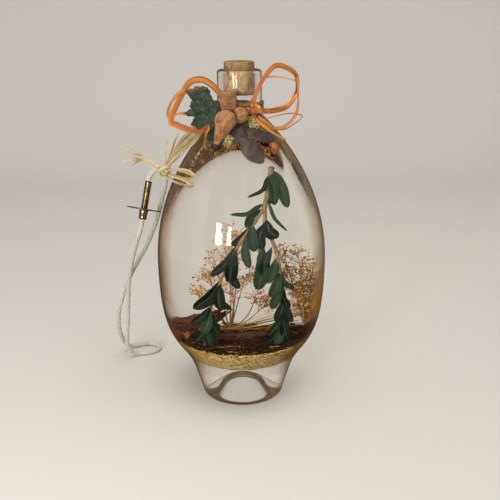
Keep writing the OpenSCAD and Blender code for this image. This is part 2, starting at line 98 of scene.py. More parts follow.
# %% Place the camera
tilt_down, roll_right = 18.2, 0.5
camera = bpy.data.objects.new("camera", bpy.data.cameras.new("camera"))
bpy.context.scene.collection.objects.link(camera)
camera.data.lens = 54
camera.data.sensor_width = 36
camera.data.clip_start = 0.01
camera.location = (0.0069, -0.5726, 0.3106)
camera.rotation_mode = "QUATERNION"
tilt = Matrix.Rotation(math.radians(90 - tilt_down), 4, "X")
roll = Matrix.Rotation(math.radians(-roll_right), 4, "Z")
camera.rotation_quaternion = (tilt @ roll).to_quaternion()
bpy.context.scene.camera = camera
bpy.context.scene.view_settings.view_transform = "Standard"
print("camera at", [round(v, 3) for v in camera.location])

# %% [markdown]
# ## Tools for meshes
# Nearly every piece here is a loft: a row of rings, each ring joined to the next one, with both ends closed.
# A tube, a ribbon, a leaf, a pod and the bottle differ only in how their rings are made.
# `Build` collects such lofts and turns them into one object with a flow attribute for the materials:
# x runs along the piece, y across it, and z is a number between 0 and 1 that is the same over one strand or leaf.

# %% Mesh tools
MM = 0.001


class Build:
    def __init__(self):
        self.verts, self.faces, self.flow, self.slots = [], [], [], []

    def loft(self, rings, flows=None, slot=0, closed_path=False, tag=0.5):
        """Joins rings of equal length. Both ends are closed with a fan, unless the path runs back into itself.
        flows holds one (x, y, z) for each point, and is worked out from the rings where it isn't given."""
        start, count = len(self.verts), len(rings[0])
        for i, ring in enumerate(rings):
            for j, p in enumerate(ring):
                self.verts.append(p)
                self.flow.append(flows[i][j] if flows else (i / (len(rings) - 1), j / count, tag))
        last = len(rings) if closed_path else len(rings) - 1
        for i in range(last):
            a, b = start + i * count, start + (i + 1) % len(rings) * count
            for j in range(count):
                k = (j + 1) % count
                self.add_face((a + j, a + k, b + k, b + j), slot)
        if not closed_path:
            last_base = start + (len(rings) - 1) * count
            for ring, base, turn in ((rings[0], start, -1), (rings[-1], last_base, 1)):
                middle = sum((Vector(p) for p in ring), Vector()) / count
                self.verts.append(middle)
                self.flow.append(self.flow[base])
                hub = len(self.verts) - 1
                for j in range(count):
                    k = (j + 1) % count
                    self.add_face((base + j, base + k, hub)[::turn], slot)
        return self

    def add_face(self, face, slot=0):
        self.faces.append(face)
        self.slots.append(slot)

    def piece(self, name, materials, nodes, body, slot_name, smooth=True):
        """Makes the object, in metres, and puts it in the place of its CAD nodes."""
        mesh = bpy.data.meshes.new(name)
        mesh.from_pydata([tuple(v) for v in self.verts], [], self.faces)
        for m in materials:
            mesh.materials.append(m)
        mesh.polygons.foreach_set("material_index", self.slots)
        mesh.polygons.foreach_set("use_smooth", [smooth] * len(mesh.polygons))
        layer = mesh.attributes.new("flow", "FLOAT_VECTOR", "POINT")
        layer.data.foreach_set("vector", [c for f in self.flow for c in f])
        mesh.validate()
        mesh.update()
        made = bpy.data.objects.new(name, mesh)
        bpy.context.scene.collection.objects.link(made)
        return place(made, nodes, body)


def place(made, nodes, body):
    """Lets a piece ride on its body, in the place of its CAD nodes."""
    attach(made, body)
    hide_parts(*nodes)
    print(f"{made.name}: {len(made.data.polygons)} faces for {', '.join(nodes) or 'no node'}")
    return made


def spline(points, per):
    """A smooth path through points, with per steps between each two of them."""
    p = [Vector(q) for q in points]
    out = []
    for i in range(len(p) - 1):
        a, b, c, d = p[max(i - 1, 0)], p[i], p[i + 1], p[min(i + 2, len(p) - 1)]
        for k in range(per):
            t = k / per
            out.append(0.5 * (2 * b + (c - a) * t + (2 * a - 5 * b + 4 * c - d) * t * t
                              + (3 * b - a - 3 * c + d) * t ** 3))
    out.append(p[-1])
    return out


def carried_frames(path, side=(0, 0, 1)):
    """Along, across and up for each point of a path, carried from one point to the next without twist."""
    frames, across = [], Vector(side)
    for i in range(len(path)):
        along = (path[min(i + 1, len(path) - 1)] - path[max(i - 1, 0)]).normalized()
        across = (across - across.dot(along) * along).normalized()
        frames.append((along, across, along.cross(across)))
    return frames


def round_angles(count):
    """That many angles, evenly round a full turn."""
    return [2 * math.pi * j / count for j in range(count)]


def value(setting, t):
    """A setting is a number, or a function of how far along the piece it is."""
    return setting(t) if callable(setting) else setting


def tube(build, path, radius, sides=8, slot=0, tag=0.5):
    """A round tube. radius is a setting."""
    rings = []
    for i, (p, (along, across, up)) in enumerate(zip(path, carried_frames(path))):
        r = value(radius, i / (len(path) - 1))
        rings.append([p + r * (math.cos(a) * across + math.sin(a) * up) for a in round_angles(sides)])
    return build.loft(rings, slot=slot, tag=tag)


def revolve(build, profile, turns):
    """Rings round the Z axis through profile's (r, z) points in metres, from one pole to the other."""
    return build.loft([[Vector((r * math.cos(a), r * math.sin(a), z)) for a in round_angles(turns)]
                       for r, z in profile])


print("mesh tools ready")

# %% [markdown]
# ## Tools for materials
# Every finish is a small node tree. `Finish` adds nodes, sets their sockets and links them, so that each
# material below reads as a short recipe. `total` adds values by their weights, most often two or three noises.
# Colours are linear values. `rgb` makes them from 0-255 steps.

# %% Material tools
class Finish:
    def __init__(self, name):
        self.material = bpy.data.materials.new(name)
        self.material.use_nodes = True
        self.tree = self.material.node_tree
        self.tree.nodes.clear()
        self.output = self.tree.nodes.new("ShaderNodeOutputMaterial")

    def node(self, kind, inputs=None, **settings):
        n = self.tree.nodes.new("ShaderNode" + kind)
        for key, value in settings.items():
            setattr(n, key, value)
        for key, value in (inputs or {}).items():
            socket = n.inputs[key]
            if isinstance(value, bpy.types.NodeSocket):
                self.tree.links.new(value, socket)
            else:
                socket.default_value = value
        return n

    def ramp(self, factor, *stops):
        n = self.node("ValToRGB", {"Fac": factor})
        band = n.color_ramp
        while len(band.elements) < len(stops):
            band.elements.new(0.5)
        for element, (place_at, colour) in zip(band.elements, stops):
            element.position = place_at
            element.color = (*colour, 1)
        return n.outputs["Color"]

    def noise(self, scale, detail=3, vector=None, distortion=0.0):
        inputs = {"Scale": scale, "Detail": detail, "Distortion": distortion, "Roughness": 0.55}
        if vector is not None:
            inputs["Vector"] = vector
        return self.node("TexNoise", inputs).outputs["Fac"]

    def here(self):
        """Where the point is on the object, in metres."""
        return self.node("TexCoord").outputs["Object"]

    def flow(self):
        """The flow attribute as a vector, then its x, y and z."""
        n = self.node("Attribute", attribute_name="flow")
        split = self.node("SeparateXYZ", {"Vector": n.outputs["Vector"]})
        return n.outputs["Vector"], split.outputs["X"], split.outputs["Y"], split.outputs["Z"]

    def math(self, operation, a, b=0.0, c=0.0):
        return self.node("Math", {0: a, 1: b, 2: c}, operation=operation).outputs[0]

    def total(self, *parts):
        """The sum of (value, weight) pairs."""
        *firsts, (value, weight) = parts
        out = self.math("MULTIPLY", value, weight)
        for value, weight in reversed(firsts):
            out = self.math("MULTIPLY_ADD", value, weight, out)
        return out

    def stretched(self, vector, scale):
        return self.node("Mapping", {"Vector": vector, "Scale": scale}).outputs["Vector"]

    def bump(self, height, strength, distance):
        inputs = {"Height": height, "Strength": strength, "Distance": distance}
        return self.node("Bump", inputs).outputs["Normal"]

    def blend(self, factor, a, b):
        n = self.node("Mix", {"Factor": factor}, data_type="RGBA")
        for index, value in ((6, a), (7, b)):
            if isinstance(value, bpy.types.NodeSocket):
                self.tree.links.new(value, n.inputs[index])
            else:
                n.inputs[index].default_value = (*value, 1)
        return n.outputs[2]

    def ends_in(self, shader):
        """Links the last shader to the material's output."""
        self.tree.links.new(shader.outputs[0], self.output.inputs["Surface"])
        return self.material

    def surface(self, **inputs):
        """The usual last step: one Principled shader, set by short names."""
        names = {"color": "Base Color", "rough": "Roughness", "metal": "Metallic", "normal": "Normal",
                 "sheen": "Sheen Weight", "coat": "Coat Weight", "coat_rough": "Coat Roughness",
                 "specular": "Specular IOR Level", "scatter": "Subsurface Weight",
                 "scatter_scale": "Subsurface Scale", "sheen_rough": "Sheen Roughness"}
        settings = {}
        for key, value in inputs.items():
            if key == "color" and isinstance(value, tuple):
                value = (*value, 1)
            settings[names[key]] = value
        return self.ends_in(self.node("BsdfPrincipled", settings))


def rgb(red, green, blue):
    """A colour given in 0-255 steps, as the linear values that a shader takes."""
    return tuple(c / 255 / 12.92 if c <= 10 else ((c / 255 + 0.055) / 1.055) ** 2.4 for c in (red, green, blue))


print("material tools ready")

# %% [markdown]
# ## The cotton wick
# The wick is a limp cord, so it comes first, with the camera. On the real object it is a round braid of bleached
# cotton, 4 mm thick, doubled: both ends are caught in the raffia knot, one run drops straight to the table, turns
# round one flat loop and climbs back through the brass tube.
# A braid could be an image or a bump alone. Here the tube itself swells and sinks where the strands cross, since
# its outline is seen against a plain wall. Strands run both ways round, and the higher of two sines is the strand
# on top. The route is given in millimetres.

# %% Braid the wick
wick_route = [
    (-57, -8, 187), (-58.5, -2, 178), (-61.5, 4, 168), (-65, 10, 156), (-70, 16.5, 141),
    (-80, 25, 118), (-86, 28.5, 107.5), (-97.5, 35.5, 87), (-102.5, 39, 76), (-110, 44.5, 52),
    (-111.5, 48, 40), (-112, 52.5, 29), (-111.5, 59, 19), (-110.5, 66.5, 10.5), (-107.5, 73, 4.5),
    (-102.5, 77.5, 2.5), (-96.5, 80.5, 2.3), (-89.5, 82, 2.3), (-82.5, 79, 2.3), (-79.5, 72.5, 2.3),
    (-82, 66, 2.3), (-88.5, 62.5, 2.3), (-96.5, 60.5, 2.3), (-102, 56.5, 5), (-105, 52.5, 12),
    (-105.5, 50, 21), (-102.5, 45, 46), (-101, 41, 60), (-97, 30, 86), (-94, 23.5, 98),
    (-91, 16, 109), (-87.5, 7.5, 120), (-83.5, 0, 131), (-79.5, -6, 141.5), (-77.3, -6, 150.5),
    (-75.3, -3.1, 161), (-71.8, 2.2, 180), (-68.5, 1, 186), (-64, -3, 190), (-58.5, -8.5, 192),
]
wick_path = [p * MM for p in spline(wick_route, 32)]
wick_radius, strand_swell = 0.00195, 0.00012
turns_of_braid, strands_each_way, wick_sides = 70, 4, 24

f = Finish("cotton")
vector, along, around, tag = f.flow()
lengthwise, crosswise = 2 * math.pi * turns_of_braid, 2 * math.pi * strands_each_way
right = f.math("SINE", f.total((along, lengthwise), (around, crosswise)))
left = f.math("SINE", f.total((along, lengthwise), (around, -crosswise)))
weave = f.math("MAXIMUM", right, left)
fluff = f.noise(900, 4, f.here())
# Painted shade: the grooves between the strands are coloured darker than the strands' crowns.
tone = f.ramp(f.total((weave, 0.35), (fluff, 0.7)),
              (0.0, (0.38, 0.37, 0.30)), (0.45, (0.50, 0.49, 0.42)), (0.9, (0.60, 0.59, 0.51)))
cotton = f.surface(color=tone, rough=0.95, sheen=0.2, sheen_rough=0.6, scatter=0.15, scatter_scale=0.002,
                   normal=f.bump(f.math("MULTIPLY_ADD", fluff, 0.5, weave), 0.3, 0.0002))

build = Build()
rings, flows = [], []
for i, (p, (forwards, across, up)) in enumerate(zip(wick_path, carried_frames(wick_path, (1, 0, 0)))):
    t = i / (len(wick_path) - 1)
    ring = []
    for a in round_angles(wick_sides):
        one = math.sin(lengthwise * t + strands_each_way * a)
        other = math.sin(lengthwise * t - strands_each_way * a)
        r = wick_radius + strand_swell * (max(one, other) - 0.6)
        ring.append(p + r * (math.cos(a) * across + math.sin(a) * up))
    rings.append(ring)
    flows.append([(t, j / wick_sides, 0.5) for j in range(wick_sides)])
build.loft(rings, flows)
wick = build.piece("cotton_wick_braid", [cotton], ["cotton_wick"], "wick_kit", "cotton")

# %% [markdown]
# ## The glass
# The bottle is one blown shell. Its inside wall doesn't follow the outside everywhere: the base under the filling
# is a thick block of glass, and a bell-shaped punt is pressed up into it from below.
# One closed mesh is revolved from the punt, out over the foot, up the outside, over the rim and down the inside.
# The wall touches air outside and oil inside. Light bends only a little from glass to oil, because 1.5 and 1.45
# are close, so the wetted inside wall gets its own material with the ratio of the two. That is why a full bottle
# shows its filling so clearly, and why the filling looks wider than it is.
# Blown glass is a little wavy. That blurs what is seen through it where it turns away from the eye. Its edges are
# tinted straw and then brown: a little is the glass and oil's own straw colour, the brown is a painted reflection of
# brown surroundings seen through them. Both are driven by how far the wall faces away.

# %% Glass and oil materials
glass_bends, oil_bends = 1.5, 1.45


def lit_inside(f, glass, clear=(1, 1, 1, 1)):
    """Ends a finish in glass that lamps reach through, so that what stands inside is lit."""
    open_way = f.node("BsdfTransparent", {"Color": clear})
    shadow = f.node("LightPath").outputs["Is Shadow Ray"]
    return f.ends_in(f.node("MixShader", {0: shadow, 1: glass.outputs[0], 2: open_way.outputs[0]}))


shadow_tint = (0.97, 0.97, 0.965, 1)
f = Finish("clear_glass")
streaks = f.noise(1.0, 3, f.stretched(f.here(), (55, 55, 5)))
facing = f.node("LayerWeight", {"Blend": 0.5}).outputs["Facing"]
facing = f.math("MULTIPLY_ADD", streaks, 0.12, f.math("SUBTRACT", facing, 0.06))
# Painted reflection: the brown that the edges take at grazing angles stands in for brown surroundings seen through
# the glass.
straw_and_painted_reflection = f.ramp(facing, (0.0, (0.985, 0.99, 0.98)), (0.45, (0.98, 0.98, 0.965)), (0.60, (0.92, 0.85, 0.74)),
                   (0.76, (0.80, 0.67, 0.50)), (0.92, (0.52, 0.44, 0.31)))
blur = f.math("MAXIMUM", 0.0, f.math("MULTIPLY_ADD", facing, 1.2, -0.56))
glass = f.node("BsdfGlass", {"Color": straw_and_painted_reflection, "Roughness": blur, "IOR": glass_bends})
outer_glass = lit_inside(f, glass, shadow_tint)

f = Finish("glass_to_oil")
glass = f.node("BsdfGlass", {"Color": (1, 1, 1, 1), "Roughness": 0.0, "IOR": glass_bends / oil_bends})
wet_glass = lit_inside(f, glass, shadow_tint)
print("glass ready")

# %% [markdown]
# The outline is two cubic curves that meet at the widest place. The CAD solid's box gives the rim's height and
# the body's width, and the other heights and radii are the bottle's own. The inside starts part of the way up the
# lower curve, where the bowl's edge meets the wall.

# %% Draw the bottle's outline
cad_glass_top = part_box("glass_bottle")[1]
rim_z, body_r, belly_z = cad_glass_top.z, cad_glass_top.x, 0.116
neck_base_z, neck_r, bore_r = rim_z - 0.033, 0.0168, 0.0115
rim_round, lip_z = 0.002, rim_z - 0.0028
foot_r, foot_top_z, foot_top_r, foot_round, ring_r = 0.0335, 0.0205, 0.039, 0.0025, 0.028
wall, bowl_starts_at, floor_z = 0.0045, 0.2, 0.043
punt_r, punt_z = 0.026, 0.037
oil_z = 0.2400
pole_r = 1e-5


class Curve:
    """A cubic curve in the (r, z) plane, and the same curve moved inwards."""

    def __init__(self, *points):
        self.p = [np.array(q, float) for q in points]

    def at(self, t, inwards=0.0):
        a, b, c, d = self.p
        spot = (1 - t) ** 3 * a + 3 * (1 - t) ** 2 * t * b + 3 * (1 - t) * t * t * c + t ** 3 * d
        slope = (1 - t) ** 2 * (b - a) + 2 * (1 - t) * t * (c - b) + t * t * (d - c)
        slope = slope / np.hypot(*slope)
        return tuple(spot + inwards * np.array((-slope[1], slope[0])))

    def run(self, start, end, steps, inwards=0.0):
        return [self.at(start + (end - start) * i / steps, inwards) for i in range(steps + 1)]


def arc(middle, radius, start, end, steps):
    angles = (math.radians(start + (end - start) * i / steps) for i in range(steps + 1))
    return [(middle[0] + radius * math.cos(a), middle[1] + radius * math.sin(a)) for a in angles]


lower = Curve((foot_top_r, foot_top_z), (foot_top_r + 0.010, foot_top_z + 0.0355),
              (body_r, belly_z - 0.076), (body_r, belly_z))
upper = Curve((body_r, belly_z), (body_r, belly_z + 0.061),
              (neck_r + 0.014, neck_base_z - 0.014), (neck_r, neck_base_z))
outside = lower.run(0, 1, 44) + upper.run(0, 1, 48)[1:]
inside = lower.run(bowl_starts_at, 1, 40, wall)
inside += [(max(r, bore_r), z) for r, z in upper.run(0, 1, 48, wall)[1:]]
bowl_r, bowl_z = inside[0]


def glass_radius(z):
    """The bottle's outside radius at a height."""
    return float(np.interp(z, [q[1] for q in outside], [q[0] for q in outside]))


def inner_radius(z):
    """The radius of its inside wall at a height."""
    return float(np.interp(z, [q[1] for q in inside], [q[0] for q in inside]))


def bowl_height(r):
    """The height of the cavity's floor, which swells up a little over the punt."""
    return floor_z + (bowl_z - floor_z) * (r / bowl_r) ** 2


print(f"bowl's edge {bowl_r:.4f} m out and {bowl_z:.4f} m up")

# %% Revolve the bottle
shares = [i / 20 for i in range(21)]
punt = [(max(punt_r * u, pole_r), punt_z * (1 + math.cos(math.pi * u)) / 2) for u in shares]
heel = arc((foot_r - foot_round, foot_round), foot_round, -90, 0, 8)
rim = arc((neck_r - rim_round, rim_z - rim_round), rim_round, 0, 90, 8)
rim += arc((bore_r + rim_round, rim_z - rim_round), rim_round, 90, 180, 8)
bowl = [(max(bowl_r * u, pole_r), bowl_height(bowl_r * u)) for u in (1 - i / 16 for i in range(1, 17))]
line = punt + [(ring_r, 0.0)] + heel + outside + [(neck_r, neck_base_z + 0.0006), (neck_r, lip_z)]
line += rim + [(bore_r, lip_z), (bore_r, rim_z - 0.012), (bore_r, oil_z)]
first_wet = len(line) - 1
line += [q for q in inside[::-1] if q[1] < neck_base_z] + bowl

turns = 144
build = Build()
revolve(build, line, turns)
wet_sides, wet_middle = range(first_wet * turns, (len(line) - 1) * turns), len(build.faces) - turns
build.slots = [int(n in wet_sides or n >= wet_middle) for n in range(len(build.faces))]
build.piece("bottle_glass", [outer_glass, wet_glass], ["glass_bottle"], "bottle", "clear_glass")

# %% [markdown]
# ## The oil
# The bottle is filled to just under the cork. Only the oil's flat top shows as a surface, a bright ring low in the
# neck. Its sides carry the faint straw tint of lamp oil and let everything through, because the bending of light
# there already belongs to the wetted glass.

# %% Fill the bottle with oil
f = Finish("oil_top")
oil_top = lit_inside(f, f.node("BsdfGlass", {"Color": (1, 1, 0.98, 1), "Roughness": 0.0, "IOR": oil_bends}))
f = Finish("oil_sides")
oil_sides = f.ends_in(f.node("BsdfTransparent", {"Color": (0.995, 0.985, 0.96, 1)}))

gap, turns = 0.0002, 96
oil_line = [(max(r - gap, pole_r), z + gap) for r, z in bowl[::-1]]
oil_line += [(r - gap, z) for r, z in inside if z < neck_base_z] + [(bore_r - gap, oil_z - gap)]
build = Build()
revolve(build, oil_line, turns)
build.slots = [int(n >= len(build.faces) - turns) for n in range(len(build.faces))]
build.piece("lamp_oil", [oil_sides, oil_top], [], "bottle", "clear_glass")

# %% [markdown]
# ## Tools for leaves, bands and places
# Raffia is a thin flat band that curls and twists. A leaf is a closed skin with a front and a back, so it has a
# real edge. Each is a loft again: the ring goes once round the section, over the front and back under it.
# `turned` and `spin` make round pieces such as pods. `at_neck` and `at_shoulder` give places round the bottle as
# an angle from the front, a stand-off from the glass and a height over the foot of the neck, in millimetres.

# %% Bands and leaves
rib_groove, least_half = 0.00025, 0.00008


def mm(*points):
    """Points given in millimetres."""
    return [Vector(p) * MM for p in points]


def strip(build, path, width, thick=0.0003, turn=0.0, side=(0, 1, 0), curl=0.2, tag=0.5, slot=0):
    """A thin band. turn twists it about its path, and curl hollows it like a gutter. width and turn are settings."""
    rings, flows = [], []
    for i, (p, (along, across, up)) in enumerate(zip(path, carried_frames(path, side))):
        t = i / (len(path) - 1)
        a, half = value(turn, t), value(width, t) / 2
        flat = math.cos(a) * across + math.sin(a) * up
        out = along.cross(flat)
        ring, flow = [], []
        for face in (1, -1):
            for k in (-1, -0.6, 0, 0.6, 1):
                s = -k * face
                depth = curl * half * (s * s - 0.4) + face * thick / 2 * (1 - 0.7 * s * s)
                ring.append(p + half * s * flat + depth * out)
                flow.append((t, s, tag))
        rings.append(ring)
        flows.append(flow)
    return build.loft(rings, flows, slot)


def leaf(build, spine, half_width, facing, thick=0.0004, cup=0.15, fold=0.0, ripple=0.0, tag=0.5, columns=9):
    """A leaf along its spine. facing is the way its front looks, half_width its outline from stalk to tip. cup
    bends it like a gutter, fold like an open book, and ripple waves its edges."""
    rings, flows = [], []
    facing = Vector(facing).normalized()
    for i, p in enumerate(spine):
        t = i / (len(spine) - 1)
        along = (spine[min(i + 1, len(spine) - 1)] - spine[max(i - 1, 0)]).normalized()
        across = along.cross(facing).normalized()
        out = across.cross(along)
        half = max(half_width(t), least_half)
        ring, flow = [], []
        for face in (1, -1):
            for k in range(columns):
                s = face * (2 * k / (columns - 1) - 1)
                wave = ripple * s * s * math.sin(17 * t + 40 * tag + (0 if s > 0 else 2))
                depth = half * (cup * s * s + fold * abs(s) + wave) + face * thick / 2 * (1 - 0.8 * s * s)
                depth -= rib_groove * max(0.0, 1 - abs(s) / 0.12) * (half > 1 * MM)
                ring.append(p + half * s * across + depth * out)
                flow.append((t, s, tag))
        rings.append(ring)
        flows.append(flow)
    return build.loft(rings, flows)


print("band and leaf ready")


# %% Places and round shapes
def at_neck(angle, off, height):
    a, r = math.radians(angle), neck_r / MM + off
    return Vector((r * math.sin(a), -r * math.cos(a), neck_base_z / MM + height)) * MM


def at_shoulder(angle, off, height):
    z = neck_base_z + height * MM
    a, r = math.radians(angle), glass_radius(z) + off * MM
    return Vector((r * math.sin(a), -r * math.cos(a), z))


def shoulder_tilt(height):
    """How far the glass leans back at a height, in degrees."""
    z, step = neck_base_z + height * MM, 0.0015
    drop = glass_radius(z - step) - glass_radius(z + step)
    return 90 - math.degrees(math.atan2(2 * step, drop))


def turned(x, y, z):
    """A turn of x, then y, then z degrees about the fixed axes."""
    return (Matrix.Rotation(math.radians(z), 4, "Z") @ Matrix.Rotation(math.radians(y), 4, "Y")
            @ Matrix.Rotation(math.radians(x), 4, "X"))


def on_shoulder(angle, off, height):
    """A place on the bottle's shoulder, turned and tilted to lie along the glass."""
    return (Matrix.Translation(at_shoulder(angle, off, height)) @ turned(0, 0, angle)
            @ turned(-shoulder_tilt(height), 0, 0))


def spin(build, profile, place_at, turns, rough):
    """A turned shape from (r, z) points in millimetres, put in its place by a matrix. rough moves each point."""
    rings = []
    for r, z in profile:
        ring = []
        for a in round_angles(turns):
            p = Vector((max(r, 0.005) * math.cos(a), max(r, 0.005) * math.sin(a), z)) * MM
            ring.append(place_at @ (p + rough(p, a)))
        rings.append(ring)
    return build.loft(rings)


def outwards(a):
    """One step straight out from the axis."""
    return Vector((math.cos(a), math.sin(a), 0))


def rounded(points, per=4):
    """A smooth line through (r, z) points."""
    return [(p.x, p.z) for p in spline([(r, 0, z) for r, z in points], per)]


print("round shapes ready")

# %% [markdown]
# ## Scattered grains
# Sand, crumbs and flower buds are hundreds of nearly equal small bodies. Modelling each one by hand would be slow
# and stay slow to change, so a node tree puts a copy of one small grain on each point: points strewn over a
# surface for sand, or the corners of a small carrier mesh for buds. Turn, size and a tone number are random with
# a fixed seed. The result is turned into a plain mesh at the end.

# %% Scatter with Geometry Nodes
def scatter(name, carrier, grain, material, smallest, largest, seed, density=0.0):
    """A mesh of many grains: density a square metre over the carrier's faces, or one on each of its points."""
    tree = bpy.data.node_groups.new(name, "GeometryNodeTree")
    ids = {}
    for label, kind in (("Carrier", "Geometry"), ("Grain", "Object"), ("Density", "Float"), ("Smallest", "Float"),
                        ("Largest", "Float"), ("Seed", "Int"), ("Material", "Material")):
        ids[label] = tree.interface.new_socket(label, in_out="INPUT", socket_type="NodeSocket" + kind).identifier
    tree.interface.new_socket("Grains", in_out="OUTPUT", socket_type="NodeSocketGeometry")

    def add(kind, links=None, **settings):
        n = tree.nodes.new(kind)
        for key, given in settings.items():
            setattr(n, key, given)
        for key, given in (links or {}).items():
            if isinstance(given, bpy.types.NodeSocket):
                tree.links.new(given, n.inputs[key])
            else:
                n.inputs[key].default_value = given
        return n

    ask = add("NodeGroupInput").outputs
    if density:
        points = add("GeometryNodeDistributePointsOnFaces",
                     {"Mesh": ask["Carrier"], "Density": ask["Density"], "Seed": ask["Seed"]}).outputs["Points"]
    else:
        points = add("GeometryNodeMeshToPoints", {"Mesh": ask["Carrier"]}).outputs["Points"]
    full_turn = (6.28, 6.28, 6.28)
    turn = add("FunctionNodeRandomValue", {"Min": (0, 0, 0), "Max": full_turn, "Seed": ask["Seed"]},
               data_type="FLOAT_VECTOR")
    scale = add("FunctionNodeRandomValue", data_type="FLOAT")
    for key, label in (("Min", "Smallest"), ("Max", "Largest"), ("Seed", "Seed")):
        socket = next(s for s in scale.inputs if s.name == key and s.enabled)
        tree.links.new(ask[label], socket)
    body = add("GeometryNodeObjectInfo", {"Object": ask["Grain"]})
    put = add("GeometryNodeInstanceOnPoints", {"Points": points, "Instance": body.outputs["Geometry"],
                                               "Rotation": turn.outputs[0], "Scale": scale.outputs[1]})
    tone = add("FunctionNodeRandomValue", {"Min": (0, 0, 0), "Max": (1, 1, 1)}, data_type="FLOAT_VECTOR")
    stored = add("GeometryNodeStoreNamedAttribute",
                 {"Geometry": put.outputs[0], "Name": "flow", "Value": tone.outputs[0]},
                 data_type="FLOAT_VECTOR", domain="INSTANCE")
    real = add("GeometryNodeRealizeInstances", {"Geometry": stored.outputs[0]})
    finished = add("GeometryNodeSetMaterial", {"Geometry": real.outputs[0], "Material": ask["Material"]})
    tree.links.new(finished.outputs[0], add("NodeGroupOutput").inputs[0])

    holder = bpy.data.objects.new(name + "_carrier", carrier)
    bpy.context.scene.collection.objects.link(holder)
    modifier = holder.modifiers.new(name, "NODES")
    modifier.node_group = tree
    for label, given in (("Grain", grain), ("Density", density), ("Smallest", smallest), ("Largest", largest),
                         ("Seed", seed), ("Material", material)):
        modifier[ids[label]] = given
    bpy.context.view_layer.update()
    mesh = bpy.data.meshes.new_from_object(holder.evaluated_get(bpy.context.evaluated_depsgraph_get()))
    mesh.name = name
    bpy.data.objects.remove(holder)
    return mesh


def grain_body(name, sides, rough, seed):
    """A small uneven ball of radius one, to be scattered. It is removed once it has been used."""
    build, rows = Build(), []
    for i in range(1, sides - 1):
        lean = math.pi * i / (sides - 1)
        r, z = math.sin(lean) + 0.02, -math.cos(lean)
        row = [Vector((r * math.cos(a), r * math.sin(a), z)) for a in round_angles(sides + 1)]
        rows.append([p * (1 + rough * noise.noise(p * 2.1 + Vector((seed, 0, 0)))) for p in row])
    build.loft(rows)
    mesh = bpy.data.meshes.new(name)
    mesh.from_pydata([tuple(v) for v in build.verts], [], build.faces)
    made = bpy.data.objects.new(name, mesh)
    bpy.context.scene.collection.objects.link(made)
    return made


def add_mesh(build, mesh, slot=0):
    """Puts a scattered mesh's faces into a piece that is being built."""
    start = len(build.verts)
    build.verts += [v.co.copy() for v in mesh.vertices]
    build.flow += [tuple(d.vector) for d in mesh.attributes["flow"].data]
    for polygon in mesh.polygons:
        build.add_face(tuple(start + v for v in polygon.vertices), slot)
    return build


print("scatter ready")

# %% [markdown]
# ## The cork
# A plain agglomerate stopper, cut square with its edges just broken. On the real one the side is scorched and
# pitted where grains have fallen out. The shape is turned, with pits pressed into it by noise, and the finish
# mixes two browns, dark pits and pale grains, since cork is never one colour.

# %% Make the cork
f = Finish("cork")
p = f.here()
broad, fine = f.noise(230, 3, p), f.noise(1500, 4, p)
cells = f.node("TexVoronoi", {"Vector": p, "Scale": 620.0}).outputs["Distance"]
base = f.ramp(f.total((broad, 0.6), (fine, 0.4)),
              (0.30, rgb(100, 76, 50)), (0.5, rgb(142, 112, 78)), (0.7, rgb(172, 142, 104)))
pits = f.ramp(f.noise(420, 2, p, 1.0), (0.34, (1, 1, 1)), (0.40, (0, 0, 0)))
relief = f.math("MULTIPLY_ADD", cells, 0.6, f.math("SUBTRACT", fine, f.math("MULTIPLY", pits, 1.2)))
cork = f.surface(color=f.blend(pits, base, rgb(70, 46, 28)), rough=0.92, specular=0.2,
                 normal=f.bump(relief, 0.45, 0.0005))


def pitted(p, a):
    """Presses pits into the side and the ends, deepest at the edge."""
    return -Vector((p.x, p.y, 0)) * 0.035 * max(0.0, noise.noise(p * 420) - 0.15)


low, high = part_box("cork_stopper")
r, h, broken, steps = high.x / MM, (high.z - low.z) / MM, 0.8, 40
edge = [(0, 0), (r * 0.5, 0), (r - broken, 0), (r, broken)]
edge += [(r, broken + (h - 2 * broken) * i / steps) for i in range(1, steps)]
edge += [(r, h - broken), (r - broken, h), (r * 0.75, h), (r * 0.5, h), (r * 0.25, h), (0, h)]
build = Build()
spin(build, edge, Matrix.Translation((0, 0, low.z)), 120, pitted)
build.piece("cork_turned", [cork], ["cork_stopper"], "cork", "cork")

# %% [markdown]
# ## The sand bed
# Coarse ochre sand lies in the bowl over the punt. Seen through the glass it is the bed's side that shows, so
# grains cover the side as well as the top. The body is one closed loft with an uneven top, and about seven
# thousand grains of a few faces each are strewn over it. Dark bark crumbs lie on the top, most of them in front,
# where the bark has shed them.

# %% Sand and crumb finishes
f = Finish("sand")
shade = f.flow()[1]
p = f.here()
cell = f.node("TexVoronoi", {"Vector": p, "Scale": 760.0})
cell_tone = f.node("SeparateColor", {"Color": cell.outputs["Color"]}).outputs[0]
tone = f.total((shade, 0.25), (cell_tone, 0.65), (f.noise(240, 3, p), 0.2))
sand = f.surface(color=f.ramp(tone, (0.16, rgb(92, 66, 30)), (0.40, rgb(152, 120, 58)), (0.64, rgb(188, 156, 86)),
                              (0.90, rgb(226, 208, 150))),
                 rough=0.85, specular=0.08,
                 normal=f.bump(f.math("SUBTRACT", 1.0, cell.outputs["Distance"]), 0.9, 0.0006))
f = Finish("crumb")
shade = f.flow()[1]
crumb = f.surface(color=f.ramp(shade, (0.2, rgb(26, 16, 12)), (0.75, rgb(58, 34, 24)), (0.97, rgb(122, 82, 44))),
                  rough=0.9, specular=0.08)

# %% Pour the sand's body
sand_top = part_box("sand_bed")[1]
sand_r, sand_z, loose = sand_top.x - 0.0004, sand_top.z, 0.0006
round_bed = round_angles(160)
bottom_rings, side_rings, top_rings, wall_drop = 14, 8, 30, 0.0018


def flat_ring(r, height_at):
    r = max(r, pole_r)
    spots = [(r * math.cos(a), r * math.sin(a)) for a in round_bed]
    return [Vector((x, y, height_at(x, y))) for x, y in spots]


def sand_surface(x, y):
    broad, fine = noise.noise((x * 120, y * 120, 0)), noise.noise((x * 900, y * 900, 3))
    return sand_z - 0.0007 + 0.0005 * broad + 0.0002 * fine


